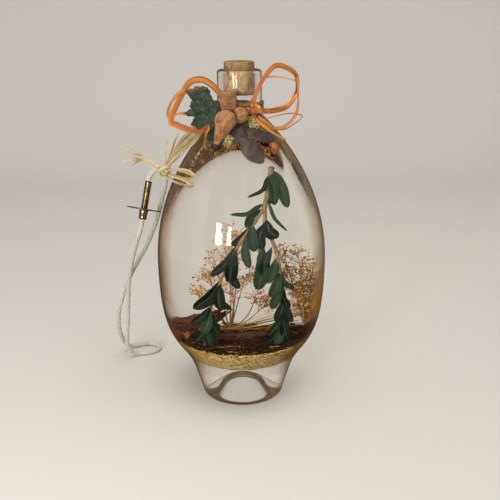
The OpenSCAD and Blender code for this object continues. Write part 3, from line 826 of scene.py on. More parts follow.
rings = []
for k in range(bottom_rings + 1):
    r = (bowl_r - loose) * k / bottom_rings
    rings.append(flat_ring(r, lambda x, y: bowl_height(r) + loose))
for k in range(1, side_rings + 1):
    z = bowl_z + loose + (sand_z - wall_drop - bowl_z) * k / side_rings
    waves = [0.0008 * noise.noise((3 * math.cos(a), 3 * math.sin(a), 9)) * (k == side_rings) for a in round_bed]
    r = inner_radius(z) - loose
    rings.append([Vector((r * math.cos(a), r * math.sin(a), z - wave)) for a, wave in zip(round_bed, waves)])
for k in range(top_rings, -1, -1):
    rings.append(flat_ring(sand_r * 0.985 * k / top_rings, sand_surface))
build = Build()
build.loft(rings, [[(0.42, 0.5, 0.5)] * len(round_bed)] * len(rings))
print("sand body:", len(build.faces), "faces")

# %% Strew grains and crumbs
bed = bpy.data.meshes.new("bed")
bed.from_pydata([tuple(v) for v in build.verts], [], build.faces)
grain = grain_body("grain", 4, 0.5, 1.7)
grains_a_metre = 350000
grains = scatter("sand_grains", bed, grain, sand, 0.00028, 0.00062, 4, grains_a_metre)
crumb_spots, rng = [], random.Random(5)
while len(crumb_spots) < 1900:
    x, y = rng.gauss(0.0, 0.026), rng.gauss(-0.010, 0.024)
    if math.hypot(x, y) < sand_r * 0.97:
        crumb_spots.append((x, y, sand_z - 0.0004 + 0.0006 * rng.random()))
crumb_ground = bpy.data.meshes.new("crumb_ground")
crumb_ground.from_pydata(crumb_spots, [], [])
crumbs = scatter("bark_crumbs", crumb_ground, grain, crumb, 0.0004, 0.0012, 9)
bpy.data.objects.remove(grain)
add_mesh(build, grains)
add_mesh(build, crumbs, 1)
build.piece("sand_bed_grained", [sand, crumb], ["sand_bed"], "bottle", "sand", smooth=False)

# %% [markdown]
# ## Bark litter
# Flaking bark has dropped shreds all over the sand, so hardly any sand shows from above. Each shred is a short
# band a few millimetres long. Most of them lie along the row of the bark pieces, and a few are straw-coloured.

# %% Strew the litter
build, rng = Build(), random.Random(19)
for k in range(950):
    reach, a = sand_r * 0.95 * math.sqrt(rng.random()), rng.uniform(0, 2 * math.pi)
    middle = Vector((reach * math.cos(a), reach * math.sin(a), sand_z + rng.uniform(-0.0002, 0.0016)))
    turn, half = rng.gauss(0, 0.55), rng.uniform(0.0015, 0.0055)
    way = Vector((math.cos(turn), math.sin(turn), rng.gauss(0, 0.10))) * half
    ends = [middle - way, middle + Vector((0, 0, rng.uniform(-0.3, 0.5))) * MM, middle + way]
    for end in ends:
        shrink = min(1.0, 0.965 * sand_r / math.hypot(end.x, end.y))
        end.x, end.y, end.z = end.x * shrink, end.y * shrink, max(end.z, sand_z - 0.0003)
    width = rng.uniform(0.0004, 0.0016)
    strip(build, ends, lambda t: width * (1 - 0.8 * abs(2 * t - 1) ** 3), turn=rng.uniform(-0.7, 0.7), curl=0.3,
          tag=rng.random(), slot=1 if k % 24 else 0)
build.piece("bark_litter", [sand, crumb], [], "bottle", "bark")

# %% [markdown]
# ## The branch
# One real evergreen twig stands on its head: the cut end is up, two limbs spread down to the sand, and the leaves
# hang in pairs. They are leathery and widest past the middle, with a paler midrib.
# Each leaf is its own loft along a bent spine, so no two are alike, and all of them take one dark green finish
# in which the tone changes from leaf to leaf.

# %% Leaf and twig finishes
f = Finish("sprig_leaf")
vector, along, across, tag = f.flow()
p = f.here()
aside = f.math("ABSOLUTE", across)
rib = f.math("SUBTRACT", 1.0, f.math("SMOOTH_MIN", f.math("MULTIPLY", aside, 6.0), 1.0, 0.3))
side_veins = f.math("SINE", f.total((along, 52.0), (aside, -14.0)))
patch = f.total((tag, 0.7), (f.noise(150, 3, p), 0.5))
green = f.ramp(patch, (0.22, rgb(10, 15, 13)), (0.55, rgb(19, 31, 24)), (0.85, rgb(40, 57, 39)))
green = f.blend(f.math("MULTIPLY", rib, 0.75), green, rgb(68, 86, 62))
leaf_green = f.surface(color=green, rough=0.5, specular=0.08,
                       normal=f.bump(f.math("MULTIPLY_ADD", side_veins, 0.25, rib), 0.35, 0.0003))
f = Finish("twig_bark")
vector, along, across, tag = f.flow()
streak = f.noise(6, 4, f.stretched(vector, (4, 14, 3)))
tone = f.total((streak, 0.7), (f.noise(700, 3, f.here()), 0.3))
brown = f.ramp(tone, (0.3, rgb(70, 52, 34)), (0.5, rgb(140, 112, 72)), (0.75, rgb(188, 158, 108)))
twig_bark = f.surface(color=brown, rough=0.8, specular=0.08, normal=f.bump(streak, 0.5, 0.0004))
print("branch finishes ready")

# %% Bend the stem and its limbs
stem = mm((18, -4, 186), (15.5, -4, 167), (13.5, -4.5, 157), (13.5, -5, 145), (10, -6, 125))
left_limb = mm((13.5, -4.5, 157), (8, -6.5, 147), (0, -9, 134), (-8, -12, 117), (-16, -15, 95), (-23, -18, 57.5))
right_limb = mm((13.5, -5, 145), (20, -7, 125), (23, -9, 105), (26, -12, 85), (24, -14, 57.5))


def knotted(base, knots, swell):
    """A twig's radius: it tapers, and swells at its joints."""
    return lambda t: base * (1 - 0.45 * t) * (1 + swell * max(math.exp(-((t - k) * 60) ** 2) for k in knots))


def obovate(width):
    """A leaf that is widest past its middle, with a short stalk."""
    return lambda t: width * 0.37 * MM * (0.04 + 0.96 * math.sin(math.pi * min(1, max(0, t)) ** 1.2) ** 1.45)


def lance(width):
    """A narrow leaf, widest near its stalk."""
    return lambda t: width / 2 * MM * (0.1 + 0.9 * math.sin(math.pi * t ** 0.8) ** 1.1)


branch = Build()
tube(branch, spline(stem, 10), knotted(0.00165, (0.02, 0.27, 0.5, 0.75), 0.28), 10, slot=1, tag=0.2)
tube(branch, spline(left_limb, 10), knotted(0.0012, (0.02, 0.2, 0.4, 0.6, 0.8), 0.3), 8, slot=1, tag=0.5)
tube(branch, spline(right_limb, 10), knotted(0.0012, (0.02, 0.25, 0.5, 0.75), 0.3), 8, slot=1, tag=0.8)
print("twigs:", len(branch.faces), "faces")

# %% [markdown]
# Each leaf is given by its two ends in millimetres, the stalk's end on the limb and the tip, and by its width and
# its sideways bend. A little chance turns each leaf's face.

# %% Hang the leaves
rng = random.Random(11)


def hang(start, end, width, shape=obovate, bend=2.0):
    """A leaf from start to end in millimetres, bent sideways and a little forwards."""
    a, b = Vector(start), Vector(end)
    reach = (b - a).length
    sideways = Vector((0, 1, 0)).cross((b - a).normalized())
    middle = (a + b) / 2 + sideways * bend + Vector((0, -0.08 * reach, 0))
    near_stalk, near_tip = a * 0.7 + middle * 0.3 + (b - a) * 0.02, b * 0.75 + middle * 0.25
    spine = [p * MM for p in spline([a, near_stalk, middle, near_tip, b], 4)]
    facing = Vector((rng.uniform(-0.35, 0.35), -1, rng.uniform(0.0, 0.5)))
    leaf(branch, spine, shape(width), facing, 0.0005, cup=0.12, fold=0.25, ripple=0.05, tag=rng.random())


# The top of the stem: one broad leaf that is folded over, and narrow ones.
hang((18.5, -4, 183), (27.5, -7, 157), 8.5, lance, -1.8)
hang((18.3, -4.5, 181), (19.5, -7, 159), 7, lance, -1.0)
hang((17.5, -4, 178), (16.4, -2, 158), 4.5, lance, 0.5)
hang((16.5, -4, 180), (4, -8, 165), 3.0, lance, -3.5)
hang((12.5, -5, 159), (-6, -9, 153), 3.4, lance, -3.0)
hang((15.5, -4, 160), (26.6, -7, 140), 2.4, lance, 1.6)
hang((11.5, -5, 156), (3, -8, 143), 6.5)
# Round leaves at the fork.
hang((14.8, -6, 148), (21.5, -9, 136), 11.5)
hang((14, -6, 147), (11.8, -9, 128), 10)
hang((11, -6, 126), (9.4, -10, 99), 11.5, bend=-1.5)
hang((12.5, -6, 130), (14.5, -3, 110), 8.5)
hang((17.5, -7, 129), (13.2, -10, 108), 9)
# The left limb, from the fork to the sand.
for start, end, width, bend in (
        ((6.5, -7, 146), (7.6, -11, 127), 10.5, 1), ((5, -8, 144), (-5.5, -6, 130), 7, -1),
        ((2.5, -9, 138), (4.6, -13, 116), 7.5, 1), ((-1, -9, 133), (-18, -13, 110), 8, -2),
        ((-3, -10, 127), (-7, -14, 106), 11.5, 1), ((-7, -12, 118), (-1.5, -9, 100), 7, 1),
        ((-11.5, -13, 108), (-29.5, -17, 85), 12, -2), ((-12.5, -14, 105), (-13, -18, 86), 10.5, 1),
        ((-14, -14, 100), (-6.5, -11, 84), 7, 2), ((-18, -16, 88), (-31.5, -20, 74), 8, -1),
        ((-18.5, -16, 86), (-24.5, -21, 66), 9.5, -1), ((-19, -16, 84), (-14, -19, 66), 9, 1),
        ((-20, -17, 76), (-29.5, -20, 59.5), 8, -1), ((-21, -17, 74), (-19.5, -22, 58), 9, 1),
        ((-21.5, -17.5, 70), (-14.5, -17, 58), 7, 1)):
    hang(start, end, width, obovate, bend)
# The right limb.
for start, end, width, bend in (
        ((20.5, -7, 122), (13.6, -11, 104), 9, -1), ((21.5, -8, 114), (31, -10, 98), 5.5, 2),
        ((22, -8, 112), (17, -12, 93), 10, -1), ((23, -9, 104), (17.5, -13, 84), 8.5, -1),
        ((23.5, -9, 102), (28.5, -12, 84), 7, 2), ((25, -11, 92), (20.5, -15, 74), 9.5, -1),
        ((25.5, -11, 90), (30, -14, 73), 8, 1), ((25.5, -12, 82), (17, -15, 66), 9, -1),
        ((25.5, -12, 79), (27.5, -16, 60), 9.5, 1), ((25, -13, 72), (14.5, -15, 59), 8, -1),
        ((24.5, -13, 70), (21.5, -18, 58), 9, 0), ((24.5, -14, 68), (29.5, -13, 58.5), 7, 1)):
    hang(start, end, width, obovate, bend)
branch.piece("evergreen_branch", [leaf_green, twig_bark], ["leafy_branch"], "bottle", "sprig_leaf")

# %% [markdown]
# ## Dried gypsophila
# Two sprays stand behind the branch: an airy one at the left, and a denser, darker one at the right that reaches
# the glass. On the real plant each stalk forks again and again into hair-thin ends, and each end carries one
# dried flower. A recursive fork gives that look. The stalks are thin lofts, and the flowers are scattered by the
# node tree over the stalks' ends.

# %% Flower and stalk finishes
f = Finish("dried_flower")
shade = f.flow()[1]
dried = f.ramp(shade, (0.06, rgb(104, 62, 30)), (0.26, rgb(178, 120, 52)), (0.58, rgb(220, 164, 82)),
               (0.92, rgb(242, 208, 134)))
dried_flower = f.surface(color=dried, rough=0.9, specular=0.08, scatter=0.1, scatter_scale=0.001,
                         normal=f.bump(f.noise(3200, 2, f.here()), 0.8, 0.0003))
f = Finish("flower_stalk")
vector, along, across, tag = f.flow()
tone = f.total((tag, 0.6), (f.noise(8, 2, vector), 0.5))
stalk = f.surface(color=f.ramp(tone, (0.2, rgb(134, 86, 40)), (0.7, rgb(202, 152, 84))), rough=0.8, specular=0.08)
print("spray finishes ready")


# %% Grow the sprays
def kept_inside(p, clear=0.0022):
    """Moves a point in from the glass, and up from the sand."""
    p.z = max(p.z, sand_z + 0.0012)
    limit = inner_radius(p.z) - clear
    reach = math.hypot(p.x, p.y)
    return Vector((p.x * limit / reach, p.y * limit / reach, p.z)) if reach > limit else p


fork_radii = (0.00022, 0.00015, 0.00010)


def spray(name, node, foot, seed, forks_at, trunks, levels, buds_low, buds_high):
    """trunks are the ends of the first stalks, and forks_at says where along them they fork. levels hold the number
    of forks, their length and their spread."""
    build, ends, rng = Build(), [], random.Random(seed)

    def fork(start, along, level):
        count, length, spread = levels[level]
        for k in range(count):
            way = (along + Vector((rng.gauss(0, 1), rng.gauss(0, 0.7), rng.gauss(0, 0.8))) * spread).normalized()
            end = kept_inside(start + way * length * MM * rng.uniform(0.6, 1.25))
            middle = (start + end) / 2 + Vector((rng.gauss(0, 1), rng.gauss(0, 1), 0.6)) * length * 0.05 * MM
            tube(build, spline([start, middle, end], 2), fork_radii[level], 4 if level < 2 else 3, tag=rng.random())
            if level + 1 < len(levels):
                fork(end, way, level + 1)
            else:
                ends.append(end)

    foot = Vector(foot) * MM
    for trunk in trunks:
        top = Vector(trunk) * MM
        bow = (foot + top) / 2 + Vector((rng.gauss(0, 1.4), rng.gauss(0, 1.0), 0)) * MM
        line = spline([foot, bow, top], 8)
        tube(build, line, lambda t: 0.00040 - 0.00018 * t, 5, tag=rng.random())
        for at in forks_at:
            spot = line[min(len(line) - 1, int(at * (len(line) - 1)))]
            fork(spot, (top - foot).normalized(), 0)
    carrier = bpy.data.meshes.new(name + "_ends")
    carrier.from_pydata([tuple(e) for e in ends], [], [])
    flower = grain_body(name + "_bud", 5, 0.5, seed)
    add_mesh(build, scatter(name + "_buds", carrier, flower, dried_flower, buds_low, buds_high, seed), 1)
    bpy.data.objects.remove(flower)
    print(name, len(ends), "flowers")
    return build.piece(name, [stalk, dried_flower], [node], "bottle", "dried_flower")


spray("gypsophila_left", "dried_flowers_left", (-6, 26, 57.6), 3, (0.82, 0.92, 1.0),
      [(-18, 22, 84), (-15, 22, 97), (-12, 22, 107), (-8, 22, 118), (-5, 22, 128), (-2, 22, 121), (1, 24, 98),
       (6, 22, 84), (9, 22, 76), (-5, 24, 90)],
      [(3, 5.0, 0.5), (3, 3.5, 0.8), (3, 2.5, 1.0)], 0.00028, 0.00060)
spray("gypsophila_right", "dried_flowers_right", (30, 16, 57.6), 8, (0.55, 0.72, 0.88, 1.0),
      [(22, 15, 113), (29, 15, 110), (35, 15, 102), (41, 14, 96), (24, 16, 98), (46, 10, 88), (33, 20, 88),
       (48, 8, 78), (40, 18, 80), (50, 5, 72), (43, 14, 72), (34, 12, 75), (30, 18, 80), (46, 2, 80)],
      [(3, 6, 0.6), (4, 4, 0.8), (3, 2.6, 1.0)], 0.00030, 0.00070)

# %% [markdown]
# ## Straws, bark and petals
# Golden straws lie in a sheaf over the bark and rise to the right. The bark is red-brown and splintered along its
# grain: a flat slab in front, a pointed wedge behind it at the left, and a small chip at the right.
# A bark piece is a loft from one end to the other, whose sections follow the outline and are furrowed by noise.

# %% Lay the straws
f = Finish("straw")
vector, along, across, tag = f.flow()
tone = f.total((tag, 0.65), (f.noise(5, 3, f.stretched(vector, (3, 8, 1))), 0.45))
straw = f.surface(color=f.ramp(tone, (0.20, rgb(58, 32, 20)), (0.48, rgb(128, 84, 40)), (0.85, rgb(208, 164, 92))),
                  rough=0.6, specular=0.1,
                  normal=f.bump(f.noise(6, 2, f.stretched(vector, (1, 20, 1))), 0.3, 0.0002))
build, rng, straws = Build(), random.Random(21), 15
for k in range(straws):
    depth, lift = rng.uniform(-3, 11), (k / (straws - 1)) ** 1.3
    here = Vector((rng.uniform(-26, -8), depth, rng.uniform(64.2, 65.5)))
    there = Vector((rng.uniform(14, 32), depth + rng.uniform(-2, 4), 65.5 + 20 * lift))
    sag = (here + there) / 2 + Vector((0, rng.uniform(-1, 1), rng.uniform(-0.5, 1.0) - 3.5 * lift))
    tube(build, spline(mm(here, sag, there), 7), rng.choice((0.00012, 0.00018, 0.00026)), 6, tag=rng.random())
build.piece("straw_sheaf", [straw], ["dried_straws"], "bottle", "straw")

# %% Split the bark
f = Finish("bark")
vector, along, across, tag = f.flow()
furrow = f.noise(9, 5, f.stretched(vector, (1.2, 9, 4)), 0.6)
tone = f.total((furrow, 0.75), (f.noise(900, 4, f.here()), 0.25), (tag, 0.08))
tone = f.math("MULTIPLY_ADD", tone, 1.8, -0.30)
bark = f.surface(color=f.ramp(tone, (0.30, rgb(14, 9, 9)), (0.48, rgb(44, 26, 23)), (0.66, rgb(80, 48, 40)),
                              (0.92, rgb(150, 106, 72))),
                 rough=0.85, specular=0.08, normal=f.bump(furrow, 1.0, 0.0010))
bark_rings, bark_sides = 56, 28


def bark_piece(name, node, sections, rough, place_at, seed, layers):
    """sections: (x, y, z low, z high, half depth) along the piece, in millimetres. The piece is split into layers,
    each with its own ends, its share of the height and its own torn edges."""
    keys, build, rng = np.array(sections, float), Build(), random.Random(int(seed * 10))
    for layer in range(layers):
        low_share, high_share = layer / layers - 0.12, (layer + 1) / layers + rng.uniform(0.0, 0.15)
        first = rng.uniform(0, 0.22) * (len(keys) - 1) * (layer > 0)
        last = (1 - rng.uniform(0, 0.22) * (layer > 0)) * (len(keys) - 1)
        stops = np.linspace(first, last, bark_rings)
        rows = np.stack([np.interp(stops, range(len(keys)), keys[:, c]) for c in range(5)], 1)
        rings, flows, lean = [], [], rng.uniform(-0.5, 0.5)
        for i, (x, y, z0, z1, deep) in enumerate(rows):
            t, tall = i / (bark_rings - 1), z1 - z0
            bottom = z0 + tall * max(0.0, low_share) + rough * 0.6 * noise.noise((x * 0.35, layer * 5.0, seed))
            torn = noise.noise((x * 0.3, seed, layer)) + 1.1 * noise.noise((x * 1.3, seed, layer)) - 0.4
            top = z0 + tall * min(1.0, high_share) + rough * torn
            taper = min(1.0, 0.15 + 5 * t, 0.15 + 5 * (1 - t))
            middle, half = (bottom + top) / 2, max(0.25, (top - bottom) / 2) * taper
            depth = deep * (0.84 - 0.08 * layer) * (0.4 + 0.6 * taper)
            ring, flow = [], []
            for j, a in enumerate(round_angles(bark_sides)):
                ca, sa = math.cos(a), math.sin(a)
                square = 1 / max(abs(ca), abs(sa)) ** 0.6
                furrows = noise.noise((x * 0.08, 3.1 * ca + seed, 3.1 * sa + layer))
                furrows += 0.5 * noise.noise((x * 0.3, 9 * ca + seed, 9 * sa))
                q = Vector((x, y + lean + depth * ca * square, middle + half * sa * square))
                q += Vector((0, ca * rough * furrows, sa * rough * 0.4 * furrows))
                q.z = max(q.z, 0.0)
                ring.append(place_at @ (q * MM))
                flow.append((t, j / bark_sides, rng.random() * 0.05 + 0.3 * layer))
            rings.append(ring)
            flows.append(flow)
        build.loft(rings, flows)
    return build.piece(name, [bark], [node], "bottle", "bark")


on_sand = sand_z + 0.0003
bark_piece("bark_slab_split", "bark_slab",
           [(-20, -0.5, 0, 4.6, 4.2), (-12, -0.3, 0, 5.6, 6.2), (0, 0.2, 0, 6, 6.6), (10, 0.2, 0, 6, 6.2),
            (20, 0.8, 0, 4.8, 4.0)],
           0.9, Matrix.Translation((-0.001, 0.002, on_sand)) @ turned(0, 0, 6), 0.3, 3)
bark_piece("bark_wedge_split", "bark_wedge",
           [(-41, 0, 0, 4, 1.4), (-37, 0, 0, 10, 2.2), (-26, 0, 0.2, 14.5, 2.4), (-20, 0, 4, 17.5, 2.4),
            (-12, 0, 10.5, 22, 2.2), (-5, 0, 19, 26, 1.2)],
           1.3, Matrix.Translation((0, 0.014, on_sand)) @ turned(0, 0, -4), 5.6, 3)
bark_piece("bark_chip", "bark_right",
           [(31, 0, 0, 6, 1.2), (35, 0, 0, 9.5, 2.3), (39, 0, 0, 11.5, 2.4), (44, 0, 3, 9, 1.4)],
           0.8, Matrix.Translation((0, -0.002, on_sand)) @ turned(0, 0, 8), 9.1, 2)

# %% [markdown]
# Small dried petals, orange turned brown, lie in a heap on the sand at the left, between the glass and the bark.
# They are the same leaf shape as above, short and thin, three tufts of five.

# %% Drop the petals
f = Finish("orange_petal")
vector, along, across, tag = f.flow()
tone = f.total((tag, 0.5), (f.noise(600, 3, f.here()), 0.5))
petal = f.surface(color=f.ramp(tone, (0.25, rgb(88, 42, 20)), (0.5, rgb(144, 78, 38)), (0.8, rgb(178, 112, 64))),
                  rough=0.7, specular=0.2,
                  normal=f.bump(f.noise(8, 3, f.stretched(vector, (1, 7, 1))), 0.5, 0.0003))
build, rng = Build(), random.Random(2)
for x, y, turn in ((-39, -11, 10), (-35, -15, -20), (-41, -5, 35)):
    for k in range(5):
        a = math.radians(turn + 90 + rng.uniform(-35, 35))
        base = Vector((x, y, 59.5 + 0.8 * k))
        tip = base + Vector((math.cos(a) * 7, math.sin(a) * 7, rng.uniform(0.2, 2.2)))
        spine = spline(mm(base, (base + tip) / 2 + Vector((0, 0, rng.uniform(0.4, 1.6))), tip), 5)
        leaf(build, [kept_inside(q, 0.003) for q in spine], obovate(rng.uniform(3.4, 4.8)), (0.2, -0.5, 1), 0.0003,
             0.3, tag=rng.random())
build.piece("dried_petals", [petal], ["orange_petals"], "bottle", "orange_petal")

# %% [markdown]
# ## Orange raffia
# Dyed raffia is a split palm leaf: a thin, stiff, glossy band with fine fibres along it, paler where it is worn
# and darker in its folds. A few turns of it are wound round the neck, and a bow is tied over them at the right.
# One band would look like a plastic strip, so each run of the bow is a bundle of three or four bands that share a
# path but twist, part and cross on their own. The fibres are noise stretched along each band's flow.

# %% Raffia finish
def raffia(name, dark, middle, light, rough=0.42):
    f = Finish(name)
    vector, along, across, tag = f.flow()
    fibre = f.noise(1.0, 4, f.stretched(vector, (5, 16, 37)), 0.4)
    broad = f.noise(1.0, 3, f.stretched(vector, (13, 1.5, 23)))
    tone = f.total((fibre, 0.55), (broad, 0.3), (tag, 0.25))
    colour = f.ramp(tone, (0.30, dark), (0.55, middle), (0.80, light))
    return f.surface(color=colour, rough=rough, specular=0.45, sheen=0.15,
                     normal=f.bump(fibre, 0.6, 0.0003))


orange_raffia = raffia("orange_raffia", rgb(120, 62, 16), rgb(196, 120, 40), rgb(232, 168, 88))
red_raffia = raffia("red_raffia", rgb(108, 48, 22), rgb(176, 92, 42), rgb(214, 142, 78))
brown_raffia = raffia("brown_raffia", rgb(74, 50, 30), rgb(136, 98, 60), rgb(182, 142, 98), 0.6)
print("raffia ready")

# %% Wind the neck
build, rng = Build(), random.Random(6)
wind_low, wind_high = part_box("neck_winding")
middle_r, turns_wound = (neck_r + 0.0003 + wind_high.x) / 2, 11
for k in range(turns_wound):
    z = wind_low.z + (wind_high.z - wind_low.z) * (k + 0.5) / turns_wound
    start, r = rng.uniform(0, 6.28), middle_r + rng.uniform(-0.0003, 0.0004)
    path = []
    for i in range(73):
        a = start + 2 * math.pi * i / 72
        height = z + 0.0005 * math.sin(a * 2 + k) + 0.0007 * (i / 72 - 0.5)
        height = min(max(height, wind_low.z + 0.0008), wind_high.z - 0.0008)
        path.append(Vector((r * math.cos(a), r * math.sin(a), height)))
    strip(build, path, rng.uniform(0.0013, 0.0021), 0.0004, math.radians(rng.uniform(-12, 12)), (0, 0, 1), 0.25,
          rng.random(), int(k % 4 == 1))
build.piece("raffia_winding", [brown_raffia, orange_raffia], ["neck_winding"], "bottle", "orange_raffia")

# %% [markdown]
# The bow's runs follow the CAD bands: out and up from the knot, over, and back to it. `bundle` lays bands round a
# path. Their stand-off grows towards the middle of the run, and all of them come together at the knot.

# %% Tie the bow
def bow(points, side):
    """Points out from the neck's side, forwards and up from its base, as a path in metres."""
    return mm(*[(side * (neck_r / MM + x), y, neck_base_z / MM + z) for x, y, z in points])


def bundle(build, points, bands, spread, seed, thick=0.00035, per=6, lean=1.3):
    """Bands of the given widths in millimetres that run along one path, and part by up to spread in its middle."""
    rng = random.Random(seed)
    for width in bands:
        phase, off = rng.uniform(0, 6.28), rng.uniform(0.4, 1.0) * spread * MM
        path = spline(points, per)
        ends = len(path) - 1
        line = []
        for i, (p, (along, across, up)) in enumerate(zip(path, carried_frames(path, (0, 1, 0)))):
            t = i / ends
            open_up = math.sin(math.pi * t) ** 0.5
            a = phase + 5.0 * t
            line.append(p + off * open_up * (0.45 * math.cos(a) * across + math.sin(a) * up))
        twist, first = rng.uniform(-0.45, 0.45), rng.uniform(-0.25, 0.25) + lean
        strip(build, line, lambda t: width * MM * (0.82 + 0.2 * math.sin(9 * t + phase)), thick,
              lambda t: first + twist * math.sin(5 * t + twist * 3), (0, 1, 0), 0.35, rng.random(),
              int(rng.random() > 0.8))


bow_left_loop = bow([
    (-5.3, -14.8, 10.8), (-3.8, -15.3, 16), (-0.3, -16, 21), (4.7, -17, 25.5), (11.2, -16.5, 27.8),
    (19.5, -14, 25.0), (26.5, -10, 14.0), (34.2, -8, -2.5), (30.5, -9.5, -5.5), (24.5, -11, -8),
    (19.2, -12, -9.5), (12.2, -12, -9.5), (7.2, -12, -7.5), (2.5, -12, -2.5)], -1)
bow_left_thin = bow([(22.5, -12.5, 20.5), (30, -11, 15.5), (34.5, -10, 9), (36.3, -8, 2), (34.8, -8, -2)], -1)
bow_right_loop = bow([
    (-7.8, -20, 10.5), (-5.8, -21, 16), (-0.8, -18, 27), (8.2, -14, 37), (17.2, -10, 36),
    (25.7, -8, 29), (25.2, -8, 16), (19.2, -12, 7.5), (11.2, -15, 5), (3.2, -18, 4.5), (-0.8, -20, 4.5)], 1)
bow_right_thin = bow([(25.6, -8, 28), (26.6, -8, 15), (25.2, -10, 1), (17.2, -14, -8), (7.2, -19, -8), (1, -22, -3),
                      (-2.9, -22.2, 1.5)], 1)
bow_cross = bow([(0, -17.5, 28.5), (11.2, -12.5, 28.5), (26, -8, 25)], 1)
bow_tail = bow([(-5.3, -23.7, 1.2), (-0.5, -26, -4), (7.2, -25, -10.5), (17.2, -22, -16)], 1)
inner_left = bow([(34.2, -8.5, -2), (30, -10.5, 1.8), (24, -12, 2.6), (18, -13, 1)], -1)
inner_right = bow([(2, -18, -1), (18, -11, 1.5), (26, -9, 0.8), (30.0, -8, -1.2), (24, -10, -6.0), (16, -13, -10),
                   (6, -18, -8)], 1)

build = Build()
bundle(build, bow_left_loop, (4.6, 4.0, 3.0, 1.6), 1.7, 31)
bundle(build, bow_left_thin, (2.8, 1.4), 0.7, 32)
bundle(build, inner_left, (2.6, 1.4), 0.6, 39)
for points in (((-16.5, -20, 233), (-20, -24.5, 229), (-25, -26, 225), (-30, -24, 220)),
               ((-19, -22, 230), (-21.5, -26, 226), (-24.5, -28, 220), (-25.5, -30, 214), (-24.5, -31.5, 210))):
    bundle(build, mm(*points), (2.8, 1.8), 0.5, len(points), lean=0.9)
build.piece("bow_left_raffia", [orange_raffia, red_raffia], ["bow_left"], "bottle", "orange_raffia")
build = Build()
bundle(build, bow_right_loop, (4.6, 3.8, 2.6, 1.4), 1.6, 35)
bundle(build, bow_right_loop[-5:], (4.2, 3.0), 1.0, 40, lean=1.5)
bundle(build, bow_right_thin, (2.0, 1.0), 1.0, 36)
bundle(build, bow_right_thin[3:], (3.4, 2.2), 0.8, 41, lean=1.5)
bundle(build, inner_right, (1.3, 0.8), 0.5, 42)
bundle(build, bow_cross, (1.4,), 0.1, 37)
bundle(build, bow_tail, (2.2, 1.0), 0.5, 38)
build.piece("bow_right_raffia", [orange_raffia, red_raffia], ["bow_right"], "bottle", "orange_raffia")

# %% [markdown]
# The knot is where all runs cross. Short bands go over and round one another, tight and glossy, and more of
# them take the darker, redder raffia than the loops do.

# %% Tie the knot
low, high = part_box("bow_knot")
centre, r = (low + high) / 2, (high.x - low.x) / 2
build, rng = Build(), random.Random(14)
for k in range(15):
    axis = Vector((rng.gauss(0, 1), rng.gauss(0, 0.5), rng.gauss(0, 1))).normalized()
    side = axis.orthogonal().normalized()
    up = axis.cross(side)
    size = r * rng.uniform(0.60, 0.86)
    start = rng.uniform(0, 6.28)
    path = [centre + size * (math.cos(a) * side + math.sin(a) * up * rng.uniform(0.97, 1.0))
            for a in (start + 2 * math.pi * i / 28 for i in range(25))]
    strip(build, path, rng.uniform(0.0016, 0.0028), 0.0005, math.radians(rng.uniform(-20, 20)), tuple(axis), 0.3,
          rng.random(), rng.choice((0, 1, 1)))
for k in range(9):
    a = rng.uniform(0, 6.28)
    base = centre + Vector((math.cos(a) * 0.5 * r, -0.5 * r, math.sin(a) * 0.5 * r))
    tip = centre + Vector((math.cos(a) * r * 1.35, -r * rng.uniform(0.5, 0.9), math.sin(a) * r * 1.3))
    path = spline([base, (base + tip) / 2 + Vector((0, -0.0012, 0)), tip], 5)
    strip(build, path, rng.uniform(0.0018, 0.003), 0.0004, rng.uniform(0.6, 1.5), (0, 1, 0), 0.4, rng.random(),
          rng.choice((0, 1)))
build.piece("bow_knot_raffia", [orange_raffia, red_raffia], ["bow_knot"], "bottle", "orange_raffia")

# %% [markdown]
# ## The vine leaves
# A preserved vine leaf, dark green and a little crumpled, with toothed edges that have dried brown and five main
# veins that start at the stalk. Its outline is too ragged for a loft along one spine. So rings shrink from the
# outline to the stalk's end on the front, and grow again on the back. How near a point lies to a vein and to the
# edge is stored in the flow attribute, and the finish reads both.

# %% Vine leaf finish
f = Finish("vine_leaf")
vector, vein, edge, tag = f.flow()
p = f.here()
mottle = f.noise(330, 4, p, 0.5)
green = f.ramp(mottle, (0.30, rgb(18, 24, 20)), (0.5, rgb(38, 50, 40)), (0.70, rgb(62, 78, 58)))
green = f.blend(f.math("MULTIPLY", vein, 0.4), green, rgb(80, 92, 68))
dry = f.total((edge, 2.6), (f.noise(420, 3, p), 1.4))
dry = f.math("MULTIPLY_ADD", dry, 1.6, -4.2)
dry = f.math("MINIMUM", f.math("MAXIMUM", dry, 0.0), 1.0)
brown = f.ramp(f.noise(700, 2, p), (0.35, rgb(58, 36, 26)), (0.65, rgb(138, 92, 58)))
relief = f.total((mottle, 0.7), (vein, 0.8))
vine_green = f.surface(color=f.blend(dry, green, brown), rough=0.6, specular=0.2, sheen=0.05,
                       normal=f.bump(relief, 0.55, 0.0006))
print("vine leaf finish ready")

# %% Cut the vine leaves
vine_corners = [
    (7, -2), (11, -1), (14.5, 3), (15.5, 8), (14.5, 12.5), (15.5, 17), (16, 20.5), (14.5, 23), (10, 26.5),
    (6, 27.5), (0.5, 30), (1.2, 25), (1, 20.5), (-2.5, 19), (-3.5, 16.5), (-9, 17.5), (-8.5, 14), (-4.5, 10.5),
    (-5, 9.6), (-10.5, 8), (-8.5, 3.5), (-6.5, 0), (-1, -3), (3, -3.5)]
vine_stalk = (7, 0)
vein_ends = [(1, 28.5), (-8, 16.5), (-9.5, 7.5), (14, 21.5), (14.5, 9), (-4, 0)]


